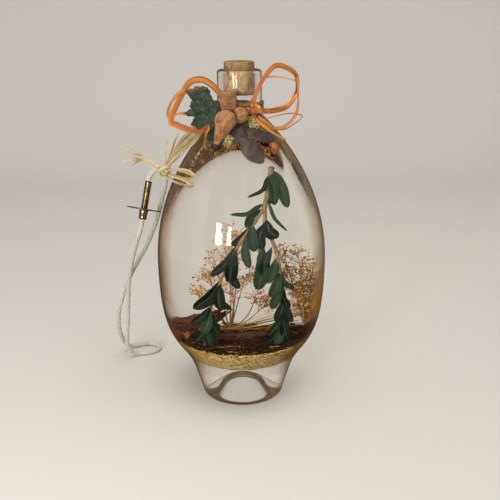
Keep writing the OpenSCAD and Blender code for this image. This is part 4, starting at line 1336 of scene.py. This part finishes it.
def vine_outline(size, teeth, seed):
    """The leaf's edge: the straight runs between its lobes' tips are broken into small teeth."""
    rng, line = random.Random(seed), []
    for i, a in enumerate(vine_corners):
        a, b = Vector(a), Vector(vine_corners[(i + 1) % len(vine_corners)])
        out = Vector((b.y - a.y, a.x - b.x)).normalized()
        steps = max(3, int((b - a).length * teeth))
        for k in range(steps):
            t = k / steps
            notch = 0.6 * rng.uniform(0.5, 1.3) * (1 if k % 3 == 1 else -0.45 if k % 3 == 2 else 0.0)
            line.append((a * (1 - t) + b * t + out * notch * min(1, 3 * t, 3 * (1 - t))) * size)
    return line


def vein_nearness(x, y, size):
    """1 on a vein, 0 away from all of them. A vein is widest at the stalk."""
    best = 9.0
    for ex, ey in vein_ends:
        base = Vector(vine_stalk) * size
        e, q = Vector((ex, ey)) * size - base, Vector((x, y)) - base
        t = max(0.0, min(1.0, q.dot(e) / e.length_squared))
        best = min(best, (q - e * t).length / (0.30 + 0.45 * (1 - t)))
    return max(0.0, 1 - best / 1.1)


def vine_leaf(build, size, place_at, ball_r, crumple, teeth, seed):
    """A crumpled leaf that is bent over a ball, with its tip more scorched than its sides."""
    outline = vine_outline(size, teeth, seed)
    hub, half_thick = Vector((4.5, 11)) * size, 0.22
    shares = [0.01] + [k / 22 for k in range(1, 23)]
    rings, flows = [], []
    for face in (1, -1):
        for share in shares[::face]:
            ring, flow = [], []
            for q in outline:
                x, z = hub + (q - hub) * share
                vein_here = vein_nearness(x, z, size)
                folds = 1.5 * noise.noise((x * 0.16 + seed, z * 0.16, 1))
                folds += 0.5 * noise.noise((x * 0.5, z * 0.5, seed))
                folds += 1.3 * share ** 3 * noise.noise((x * 0.28, z * 0.28, seed + 5)) - 0.45 * vein_here
                y = (x * x + z * z) / (2 * ball_r) + crumple * folds
                ring.append(place_at @ (Vector((x, y - face * half_thick * (1.0 - 0.6 * share), z)) * MM))
                scorched = min(1.0, max(0.0, (z / size - 18) / 8))
                flow.append((vein_here, share * (0.80 + 0.24 * scorched), 0.5))
            rings.append(ring)
            flows.append(flow)
    return build.loft(rings, flows)


front_at = Matrix.Translation(Vector((-0.0065 - neck_r, -0.026, neck_base_z - 0.004))) @ turned(-2, -38, -12)
build = Build()
vine_leaf(build, 1.0, front_at, 110, 0.75, 0.8, 3)
tube(build, spline([front_at @ q for q in mm((7, 0.6, 1.5), (7.6, 1.0, -1.0), (9, 2.5, -3.0))], 5), 0.0005)
build.piece("vine_leaf_front", [vine_green], ["vine_leaf"], "bottle", "vine_leaf")
small_at = (Matrix.Translation(at_shoulder(-38, 2.4, -7)) @ turned(0, 0, -38)
            @ turned(-shoulder_tilt(-10) - 8, 0, 0) @ turned(0, 160, 0))
build = Build()
vine_leaf(build, 0.45, small_at, 40, 0.5, 1.4, 8)
build.piece("vine_leaf_small", [vine_green], ["small_vine_leaf"], "bottle", "vine_leaf")

# %% [markdown]
# ## The pods
# Three dried pods in dusty tan: a cup with ribs round it, a teardrop that hangs by its thick end with a dark green
# cap on its tip, and a ball. They are turned shapes whose rings are pushed in and out by noise, so that no
# outline is a clean circle, with a velvety finish, since their skin is covered with short fluff.

# %% Pod finishes
f = Finish("pod")
p = f.here()
fluff, patch = f.noise(1900, 4, p), f.noise(230, 3, p, 0.6)
tone = f.total((patch, 0.6), (fluff, 0.4))
tan = f.ramp(tone, (0.34, rgb(96, 62, 40)), (0.5, rgb(148, 102, 66)), (0.64, rgb(182, 136, 94)))
pod_skin = f.surface(color=tan, rough=0.95, specular=0.1, sheen=0.2, sheen_rough=0.5,
                     normal=f.bump(fluff, 0.6, 0.0005))
f = Finish("pod_ribbed")
along, p = f.flow()[1], f.here()
ribs = f.math("SINE", f.total((along, 48.0), (f.noise(260, 3, p), 16.0)))
fluff = f.noise(1500, 4, p)
tone = f.total((ribs, 0.05), (fluff, 0.45), (f.noise(200, 3, p), 0.55))
relief = f.total((fluff, 0.9), (ribs, 0.15))
tan = f.ramp(tone, (0.28, rgb(90, 56, 36)), (0.5, rgb(146, 98, 64)), (0.72, rgb(180, 130, 90)))
pod_fibre = f.surface(color=tan, rough=0.95, specular=0.1, sheen=0.2, sheen_rough=0.5,
                      normal=f.bump(relief, 0.8, 0.0007))
f = Finish("pod_cap")
p = f.here()
cap_green = f.surface(color=f.ramp(f.noise(700, 3, p), (0.35, rgb(18, 25, 24)), (0.7, rgb(48, 60, 54))), rough=0.7,
                      normal=f.bump(f.noise(1300, 3, p), 0.5, 0.0003))
print("pod finishes ready")


# %% Turn the cup
def skin_noise(amount, scale, seed):
    """Bumps of up to about amount millimetres."""
    return lambda p, a: outwards(a) * amount * MM * noise.noise(p * scale + Vector((seed, 0, 0)))


low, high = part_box("ribbed_pod")
r, h, rib_depth, rib_count = (high.x - low.x) / 2 / MM, (high.z - low.z) / MM, 0.14, 6
cup_at = Matrix.Translation(((low.x + high.x) / 2 + 0.0017, (low.y + high.y) / 2, low.z - 0.0018))
side = []
for i in range(44):
    t = i / 43
    swell = float(np.interp(t, (0, 0.12, 0.4, 0.75, 0.95, 1), (0.55, 0.82, 0.95, 0.985, 0.94, 0.82)))
    side.append((r * swell - rib_depth * (0.5 + 0.5 * math.cos(2 * math.pi * rib_count * t)), h * t))
cup_line = [(0, 0.1), (r * 0.3, 0)] + side + [(r * 0.6, h * 0.96), (r * 0.3, h * 0.91), (0, h * 0.9)]
build = Build()
spin(build, cup_line, cup_at, 80, skin_noise(0.5, 260, 3))
build.piece("pod_cup", [pod_fibre], ["ribbed_pod"], "bottle", "gourd")

# %% Turn the teardrop and its cap
gourd_r, gourd_length, gourd_neck, gourd_off = 7.5, 26, 1.9, 10.7
tail = gourd_length - gourd_r
gourd_centre = at_neck(-20, gourd_off + gourd_r, 1.5) + Vector((0.002, 0, -0.0015))
gourd_at = Matrix.Translation(gourd_centre) @ turned(-10, 22, 0)
gourd_line = arc((0, 0), gourd_r, 90, -20, 22)
gourd_line += rounded([(gourd_r * 0.9, -gourd_r * 0.45), (gourd_r * 0.76, -gourd_r * 0.75),
                       (gourd_r * 0.5, -tail * 0.66), (gourd_neck + 0.5, -tail * 0.86), (gourd_neck, -tail)], 5)[1:]
gourd_line.append((0, -tail))
build = Build()
spin(build, gourd_line[::-1], gourd_at, 72, skin_noise(0.45, 180, 7))
build.piece("pod_teardrop", [pod_skin], ["teardrop_gourd"], "bottle", "gourd")

cap_r = gourd_neck + 0.9
cap_line = rounded([(0, -7), (0.55, -7), (0.5, -5.6), (0.75, -4.2), (cap_r * 0.8, -3.5), (cap_r * 1.12, -2.6),
                    (cap_r * 0.98, -1.8), (cap_r * 1.12, -1.0), (cap_r, -0.05), (0, -0.05)], 4)
build = Build()
spin(build, cap_line, gourd_at @ Matrix.Translation((0, 0, -tail * MM)), 40,
     lambda p, a: outwards(a) * 0.00022 * math.cos(5 * a))
build.piece("pod_cap_green", [cap_green], ["gourd_cap"], "bottle", "gourd_cap")

# %% Turn the ball
low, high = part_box("round_gourd")
r = (high.x - low.x) / 2 / MM
ball_line = [(r * math.sin(math.pi * i / 40), -r * math.cos(math.pi * i / 40) * 0.985) for i in range(41)]
build = Build()
spin(build, ball_line, Matrix.Translation((low + high) / 2) @ turned(20, 10, 0), 64, skin_noise(0.5, 200, 12))
build.piece("pod_ball", [pod_skin], ["round_gourd"], "bottle", "gourd")

# %% [markdown]
# ## Plum leaves
# Three smooth oval leaves lie on the shoulder under the pods. They are dyed a brown plum and waxed, so they shine
# softly along a fine midrib. Each lies close to its CAD leaf's place, and is cupped over the glass in its own way.

# %% Lay the plum leaves
f = Finish("plum_leaf")
vector, along, across, tag = f.flow()
p = f.here()
aside = f.math("ABSOLUTE", across)
rib = f.math("SUBTRACT", 1.0, f.math("MINIMUM", f.math("MULTIPLY", aside, 14.0), 1.0))
branching = f.math("SINE", f.total((along, 60.0), (aside, -16.0)))
relief = f.total((branching, 0.2), (rib, -1.0))
tone = f.total((f.noise(160, 3, p), 0.8), (f.noise(1400, 3, p), 0.25))
plum = f.ramp(tone, (0.30, rgb(42, 33, 31)), (0.55, rgb(70, 57, 53)), (0.80, rgb(104, 88, 80)))
plum = f.blend(f.math("MULTIPLY", rib, 0.35), plum, rgb(100, 80, 74))
plum_leaf = f.surface(color=plum, rough=0.4, specular=0.3, coat=0.12, coat_rough=0.3,
                      normal=f.bump(relief, 0.35, 0.0003))


def oval(width):
    return lambda t: width / 2 * MM * (math.sin(math.pi * min(max(t, 0), 1)) ** 0.62 * 0.985 + 0.015)


for name, node, angle, off, height, turn, length, width, hollow in (
        ("plum_leaf_left_waxed", "plum_leaf_left", 1, 4.4, -9.5, 195, 20, 13, 0.10),
        ("plum_leaf_right_waxed", "plum_leaf_right", 30, 4.6, -10.5, 118, 24, 12, 0.22),
        ("plum_leaf_front_waxed", "plum_leaf_front", 14, 5.3, -20.3, 150, 25, 15, 0.10)):
    place_at = on_shoulder(angle, off, height) @ turned(0, turn, 0) @ Matrix.Translation((0, 0, -length / 2 * MM))
    spine = [place_at @ (Vector((0.5 * math.sin(3 * t), (t - 0.5) ** 2 * 2.2 - 0.2, length * t)) * MM)
             for t in (i / 22 for i in range(23))]
    facing = place_at.to_3x3() @ Vector((0, -1, 0))
    build = Build()
    leaf(build, spine, oval(width), facing, 0.0007, cup=-hollow, fold=-0.08, ripple=0.03, tag=0.3, columns=13)
    build.piece(name, [plum_leaf], [node], "bottle", "plum_leaf")

# %% [markdown]
# ## Moss and a bud
# Two tufts of yellow-green moss are stuck between the pods and the leaves, and an orange bud under the right
# leaf. Moss is a tangle, so 64 short threads wander about inside each tuft and turn back at its outside.

# %% Pluck the moss
f = Finish("moss")
vector, along, across, tag = f.flow()
moss_tone = f.total((tag, 0.7), (f.noise(900, 2, f.here()), 0.4))
moss_green = f.ramp(moss_tone, (0.15, rgb(58, 50, 24)), (0.45, rgb(158, 142, 74)), (0.9, rgb(226, 214, 146)))
moss = f.surface(color=moss_green, rough=0.85, sheen=0.3)
for name, node, seed, aside, size in (("moss_tuft_left", "moss_left", 4, 0.0024, 0.85),
                                      ("moss_tuft_right", "moss_right", 5, 0.0022, 0.74)):
    low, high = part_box(node)
    centre, reach = (low + high) / 2 + Vector((aside, 0, 0)), (high - low) * size
    build, rng = Build(), random.Random(seed)
    for k in range(64):
        p = Vector([rng.gauss(0, 0.4) for axis in range(3)])
        way, path = Vector([rng.gauss(0, 1) for axis in range(3)]).normalized(), []
        for step in range(7):
            way = (way + 0.9 * Vector([rng.gauss(0, 0.7) for axis in range(3)]) - 0.7 * p).normalized()
            p = p + way * 0.22
            q = p * min(1.0, 0.97 / max(p.length, 0.01))
            path.append(centre + Vector((q.x * reach.x, q.y * reach.y, q.z * reach.z)))
        tube(build, spline(path, 2), rng.uniform(0.00018, 0.00038), 4, tag=rng.random())
    build.piece(name, [moss], [node], "bottle", "moss")

# %% Open the bud
build, bud_at = Build(), on_shoulder(40, 3.6, -21.5)
spin(build, rounded([(0, -4), (2, -3.4), (2.6, -1), (2.4, 2), (1.4, 4), (0, 4.2)], 5), bud_at, 40,
     lambda p, a: outwards(a) * 0.0003 * (math.cos(6 * a) - 0.8))
for turn, lift in ((-58, 0.2), (-20, 0.8), (22, 0.5), (70, 0.0)):
    petal_at = bud_at @ turned(0, turn, 0)
    spine = [petal_at @ (Vector((0, -1.2 - lift - 1.2 * math.sin(math.pi * t), -3.4 + 8.4 * t)) * MM)
             for t in (i / 10 for i in range(11))]
    facing = petal_at.to_3x3() @ Vector((0, -1, 0))
    leaf(build, spine, obovate(8.4), facing, 0.0004, cup=-0.25, ripple=0.15, tag=lift)
build.piece("bud_orange", [petal], ["orange_bud"], "bottle", "orange_petal")

# %% [markdown]
# ## The raffia tie
# The doubled wick hangs from the neck by undyed raffia: a sheaf of pale straw bands comes down from the winding,
# is knotted round the wick's two ends, sends three or four flat loops forwards over the glass, and ends in loose,
# split tails at the left. The sheaf follows the CAD strands, with more and finer bands.

# %% Hang the sheaf
pale_raffia = raffia("pale_raffia", rgb(132, 108, 66), rgb(194, 172, 124), rgb(224, 208, 166), 0.55)
# The second raffia is the pale one made darker, as painted shade, and some bands take it at random.
painted_shade_raffia = raffia("painted_shade_raffia", rgb(104, 78, 44), rgb(164, 136, 88), rgb(206, 182, 134), 0.6)
tie_turn, tie_off = -67, 3.4
tie_top = at_neck(tie_turn, tie_off, -1) / MM
strands = [
    mm(tie_top + Vector((0, 0, 1)), (-31, -7.5, 223), (-42, -8.5, 213), (-51, -10, 200.5), (-54.5, -11, 194.5)),
    mm(tie_top + Vector((-0.5, -0.5, -1.8)), (-33, -8, 215.5), (-45, -10.5, 204.5), (-54, -13, 194)),
]
build = Build()
for seed, strand, wide in ((51, strands[0], (1.4, 1.1, 0.9)), (52, strands[1], (1.2, 1.0, 0.8))):
    bundle(build, strand, (1.8, 1.6, 1.4, *wide, 0.8), 2.8, seed, thick=0.0003)
for points in (((-56, -12, 195), (-53, -9, 203), (-50, -6, 211), (-46, -4, 217)),
               ((-57, -12, 195), (-57, -9, 203), (-54.5, -7, 212)),
               ((-55, -13, 194.5), (-49, -10.5, 204), (-42, -6.5, 213), (-35, -4.5, 219)),
               ((-55, -13, 194), (-50, -12, 200), (-43, -9, 207.5), (-37, -5.5, 213), (-31, -4, 218))):
    bundle(build, mm(*points), (1.9, 1.1), 0.8, len(points) + 60, thick=0.00025)
build.piece("tie_sheaf", [pale_raffia, painted_shade_raffia], ["tie_strands"], "wick_kit", "natural_raffia")

# %% Knot it round the wick
low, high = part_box("tie_knot")
centre, reach = (low + high) / 2, (high - low) / 2
build, rng = Build(), random.Random(16)
for k in range(17):
    axis = Vector((rng.gauss(0.5, 0.7), rng.gauss(0, 0.6), rng.gauss(0.3, 0.7))).normalized()
    side = axis.orthogonal().normalized()
    up, size, start = axis.cross(side), rng.uniform(0.6, 0.9), rng.uniform(0, 6.28)
    path = []
    for i in range(25):
        a = start + 2 * math.pi * i / 28
        way = math.cos(a) * side + math.sin(a) * up
        path.append(centre + size * Vector((way.x * reach.x, way.y * reach.y, way.z * reach.z)))
    strip(build, path, rng.uniform(0.0014, 0.0026), 0.0004, math.radians(rng.uniform(-25, 25)), tuple(axis), 0.3,
          rng.random(), rng.choice((0, 0, 1)))
build.piece("tie_heart", [pale_raffia, painted_shade_raffia], ["tie_knot"], "wick_kit", "natural_raffia")

# %% Loops and tails
build = Build()
for seed, points in ((61, ((-54, -15.5, 191.5), (-46, -27, 194.5), (-37, -37.5, 194.5), (-33, -41.5, 192.3),
                           (-37, -38, 190.3), (-46, -28, 189.5), (-54, -16, 188.5))),
                     (62, ((-54.5, -16, 187.5), (-46.5, -27, 188), (-38.5, -37.5, 188), (-34.5, -42, 186),
                           (-38.5, -38, 184.2), (-47.5, -27, 184.5), (-55.5, -15.5, 186)))):
    bundle(build, mm(*points), (2.4, 2.0, 1.5, 1.0), 1.6, seed, thick=0.0003, per=7, lean=0.9)
build.piece("tie_bows", [pale_raffia, painted_shade_raffia], ["tie_loops"], "wick_kit", "natural_raffia")

build, rng = Build(), random.Random(71)
for points in (((-61.5, -11, 193), (-70, -8, 198), (-80, -4, 204), (-92, 0, 207.5)),
               ((-61.5, -10, 191), (-72, -6, 196.5), (-80, -3, 197.5), (-92, 0, 196))):
    bundle(build, mm(*points), (2.0, 1.5, 0.8), 0.7, rng.randrange(99), thick=0.00025)
    for k in range(6):
        base = Vector(points[1]) * (0.7 - 0.1 * k) + Vector(points[2]) * (0.3 + 0.1 * k)
        tip = base + Vector((-rng.uniform(5, 11), rng.uniform(-1.5, 2.5), rng.uniform(-4.5, 4.0)))
        tip.x, tip.z = max(tip.x, -91.5), min(tip.z, 208)
        bend = (base + tip) / 2 + Vector((0, 0, rng.uniform(-1.2, 1.8)))
        wide = rng.uniform(0.7, 1.3)
        strip(build, spline(mm(base, bend, tip), 6), lambda t: wide * MM * (1 - 0.75 * t), 0.0002,
              rng.uniform(0, 1.2), (0, 1, 0), 0.3, rng.random(), rng.choice((0, 1)))
build.piece("tie_tails", [pale_raffia, painted_shade_raffia], ["tie_ends"], "wick_kit", "natural_raffia")

# %% [markdown]
# ## The brass holder
# A drawn tube slides on the wick, with a thin pressed flange that would sit on the bottle's rim and a short flared
# ferrule under it. The metal is dark, bronzed brass with bright lines where it turns towards the light. All three
# are turned shapes with broken edges, hollow like the CAD ones, since the wick shows at both ends.

# %% Turn the holder
f = Finish("brass")
vector, along, around, tag = f.flow()
stain, scratch = f.noise(260, 4, f.here(), 0.8), f.noise(1.0, 3, f.stretched(vector, (160, 5, 1)))
tone = f.total((stain, 0.8), (scratch, 0.2))
bronze = f.ramp(tone, (0.30, rgb(74, 60, 40)), (0.5, rgb(122, 104, 72)), (0.72, rgb(170, 150, 112)))
brass = f.surface(color=bronze, metal=1.0, rough=f.math("MULTIPLY_ADD", stain, 0.22, 0.14),
                  normal=f.bump(scratch, 0.12, 0.0002))
holder_at = Matrix.Translation(Vector((-77.3, -6, 150.5)) * MM) @ turned(-15.3, 10.7, 0)
tube_r, bore, flange_r = 2.65, 2.15, 13.75
ferrule_h, flange_h, tube_above = 7.6, 1, 21.5
tube_top = ferrule_h + flange_h + tube_above


def hollow(build, outer, inner, turns=64):
    """A turned wall of (r, z) points in millimetres: up the outside and down the inside, joined at both ends."""
    rings, flows = [], []
    for r, z in outer + inner[::-1]:
        rings.append([holder_at @ (Vector((r * math.cos(a), r * math.sin(a), z)) * MM) for a in round_angles(turns)])
        flows.append([(z / 30, j / turns, 0.5) for j in range(turns)])
    build.loft(rings, flows, closed_path=True)


build = Build()
hollow(build, [(bore + 0.1, 0), (tube_r - 0.12, 0.02), (tube_r, 0.14), (tube_r, 8), (tube_r, 20),
               (tube_r, tube_top - 0.7), (tube_r + 0.02, tube_top - 0.2), (tube_r - 0.1, tube_top)],
       [(bore + 0.06, 0.02), (bore, 0.15), (bore, 10), (bore, tube_top - 0.15), (bore + 0.1, tube_top)])
build.piece("brass_tube", [brass], ["wick_tube"], "wick_kit", "brass")
build = Build()
hollow(build, [(tube_r + 0.03, 7.66), (7, 7.66), (flange_r - 0.5, 7.64), (flange_r - 0.12, 7.72), (flange_r, 8.0),
               (flange_r - 0.02, 8.3), (flange_r - 0.25, 8.48), (flange_r - 0.9, 8.36)],
       [(tube_r + 0.03, 8.58), (tube_r + 0.7, 8.58), (tube_r + 1.2, 8.32), (8, 8.3), (flange_r - 1.6, 8.3)], 96)
build.piece("brass_flange", [brass], ["wick_flange"], "wick_kit", "brass")
build = Build()
hollow(build, [(tube_r + 0.25, 0), (tube_r + 0.45, 0.1), (tube_r + 0.5, 1.2), (tube_r + 0.62, 3.2),
               (tube_r + 0.5, 3.5), (tube_r + 0.64, 3.8), (tube_r + 0.88, 7.2), (tube_r + 0.8, 7.58)],
       [(tube_r + 0.03, 0.05), (tube_r + 0.03, 4), (tube_r + 0.03, 7.58)])
build.piece("brass_ferrule", [brass], ["wick_ferrule"], "wick_kit", "brass")

# %% [markdown]
# ## The wick kit
# The brass pieces and the raffia tie ride on the wick's body, so they go with it.

# %% [markdown]
# ## The stage
# A plain pale floor runs up into a plain pale backdrop. Two tall, narrow softboxes stand behind the camera to the
# left: they give the pair of upright highlights that a curved bottle shows near a window. Two small low ones do
# the same for the neck, and a broad soft lamp fills from above.
# Clear glass shows only what it bends and mirrors, so its edges would vanish against a pale room. Two brown cards
# therefore lie on the floor at the sides, seen through the glass alone, as a wooden table would be. They fade out
# at their own edges, so that no hard line shows when the bottle is looked at from another side. A dark card round
# the front is seen in reflections alone, and keeps the floor's pale veil off the lower half of the body.

# %% Floor and backdrop
pale_tone = (0.62, 0.60, 0.57)


def plain(name, colour, rough):
    return Finish(name).surface(color=colour, rough=rough, specular=0.0)


def stage_piece(name, verts, faces, material):
    mesh = bpy.data.meshes.new(name)
    mesh.from_pydata(verts, [], faces)
    mesh.materials.append(material)
    mesh.polygons.foreach_set("use_smooth", [len(faces) > 1] * len(faces))
    made = bpy.data.objects.new(name, mesh)
    bpy.context.scene.collection.objects.link(made)
    made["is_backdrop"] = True
    return made


bend_r, bend_y, front_y, top_z, half_width = 0.35, 0.75, -1.2, 2.2, 3.0
sweep = [(front_y, 0.0)] + [(bend_y + bend_r * math.sin(a), bend_r - bend_r * math.cos(a))
                            for a in (math.radians(90 * i / 12) for i in range(13))] + [(bend_y + bend_r, top_z)]
stage_piece("floor", [(x, y, z) for y, z in sweep for x in (-half_width, half_width)],
            [(2 * i, 2 * i + 1, 2 * i + 3, 2 * i + 2) for i in range(len(sweep) - 1)],
            plain("pale_floor", pale_tone, 0.55))
print("floor ready")


# %% Cards for the glass
def card(name, corners, height, material):
    made = stage_piece(name, [(x, y, height) for x, y in corners], [tuple(range(len(corners)))], material)
    made.visible_camera = made.visible_shadow = made.visible_diffuse = False
    return made


def fading(name, colour):
    """A colour that fades into the floor's, near the bottle and towards all of the card's edges."""
    f = Finish(name)
    x, y, z = f.node("SeparateXYZ", {"Vector": f.here()}).outputs
    reach = f.math("SQRT", f.total((x, x), (y, y)))
    turn = f.math("MULTIPLY_ADD", f.math("ARCTAN2", y, f.math("ABSOLUTE", x)), 0.5, 0.25)
    off, on = (0, 0, 0), (1, 1, 1)
    strength = f.math("MULTIPLY", f.ramp(reach, (near_r, off), (0.085, on), (0.45, on), (far_r, off)),
                      f.ramp(turn, (0.13, off), (0.24, on), (0.60, on), (0.78, off)))
    return f.surface(color=f.blend(strength, pale_tone, colour), rough=0.8, specular=0.0)


near_r, far_r = 0.06, 0.62
angles = [math.radians(-15 + 6.5 * i) for i in range(13)]
ring = [(near_r * math.cos(a), near_r * math.sin(a)) for a in angles]
ring += [(far_r * math.cos(a), far_r * math.sin(a)) for a in angles[::-1]]
for side, name, tone in ((-1, "left", (0.17, 0.15, 0.11)), (1, "right", (0.30, 0.165, 0.075))):
    lying = card("card_low_" + name, [(side * x, y) for x, y in ring], 0.0006, fading("card_tone_" + name, tone))
    lying.visible_glossy = False
right_half = [(far_r, -1.15), (far_r, 0.40), (0.40, 0.40), (0.05, 0.08), (0.05, -0.06)]
front = card("card_front", right_half + [(-x, y) for x, y in right_half[::-1]], 0.0004,
             plain("card_tone_front", (0.06, 0.04, 0.03), 0.8))
front.visible_transmission = False
print("cards ready")


# %% Lamps and room
def softbox(name, location, target, size, power, colour=(1.0, 0.98, 0.95)):
    lamp = bpy.data.lights.new(name, "AREA")
    lamp.shape, lamp.size, lamp.size_y = "RECTANGLE", size[0], size[1]
    lamp.energy, lamp.color = power, colour
    made = bpy.data.objects.new(name, lamp)
    made.location = location
    made.rotation_euler = (Vector(target) - Vector(location)).to_track_quat("-Z", "Y").to_euler()
    made.visible_transmission = False
    bpy.context.scene.collection.objects.link(made)
    return made


softbox("window_left", (-0.623, -1.054, 0.385), (0, 0, 0.13), (0.14, 0.29), 4.5)
softbox("window_right", (-0.32, -1.176, 0.40), (0, 0, 0.13), (0.095, 0.20), 2.2)
softbox("low_left", (-0.211, -0.394, 0.2085), (0, 0, 0.21), (0.07, 0.055), 0.24)
softbox("low_right", (-0.114, -0.432, 0.2085), (0, 0, 0.21), (0.045, 0.055), 0.155)
ceiling = softbox("ceiling", (0.1, -0.45, 1.5), (0, 0, 0.1), (1.4, 1.4), 17, (1.0, 0.97, 0.93))
ceiling.visible_glossy = False

world = bpy.data.worlds.new("room")
bpy.context.scene.world = world
world.use_nodes = True
world.node_tree.nodes["Background"].inputs["Color"].default_value = (0.82, 0.80, 0.78, 1)
world.node_tree.nodes["Background"].inputs["Strength"].default_value = 0.55
print("stage ready")

# %% [markdown]
# ## The end
# The visual model's box is printed next to the CAD solids' box. The visual model has to
# stay inside the CAD solids' box.

# %% Finish
size = {"cad": [list(cad_low), list(cad_high)], "visual": [list(v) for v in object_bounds()]}
for name, corners in size.items():
    print(name, [[round(c, 4) for c in v] for v in corners])
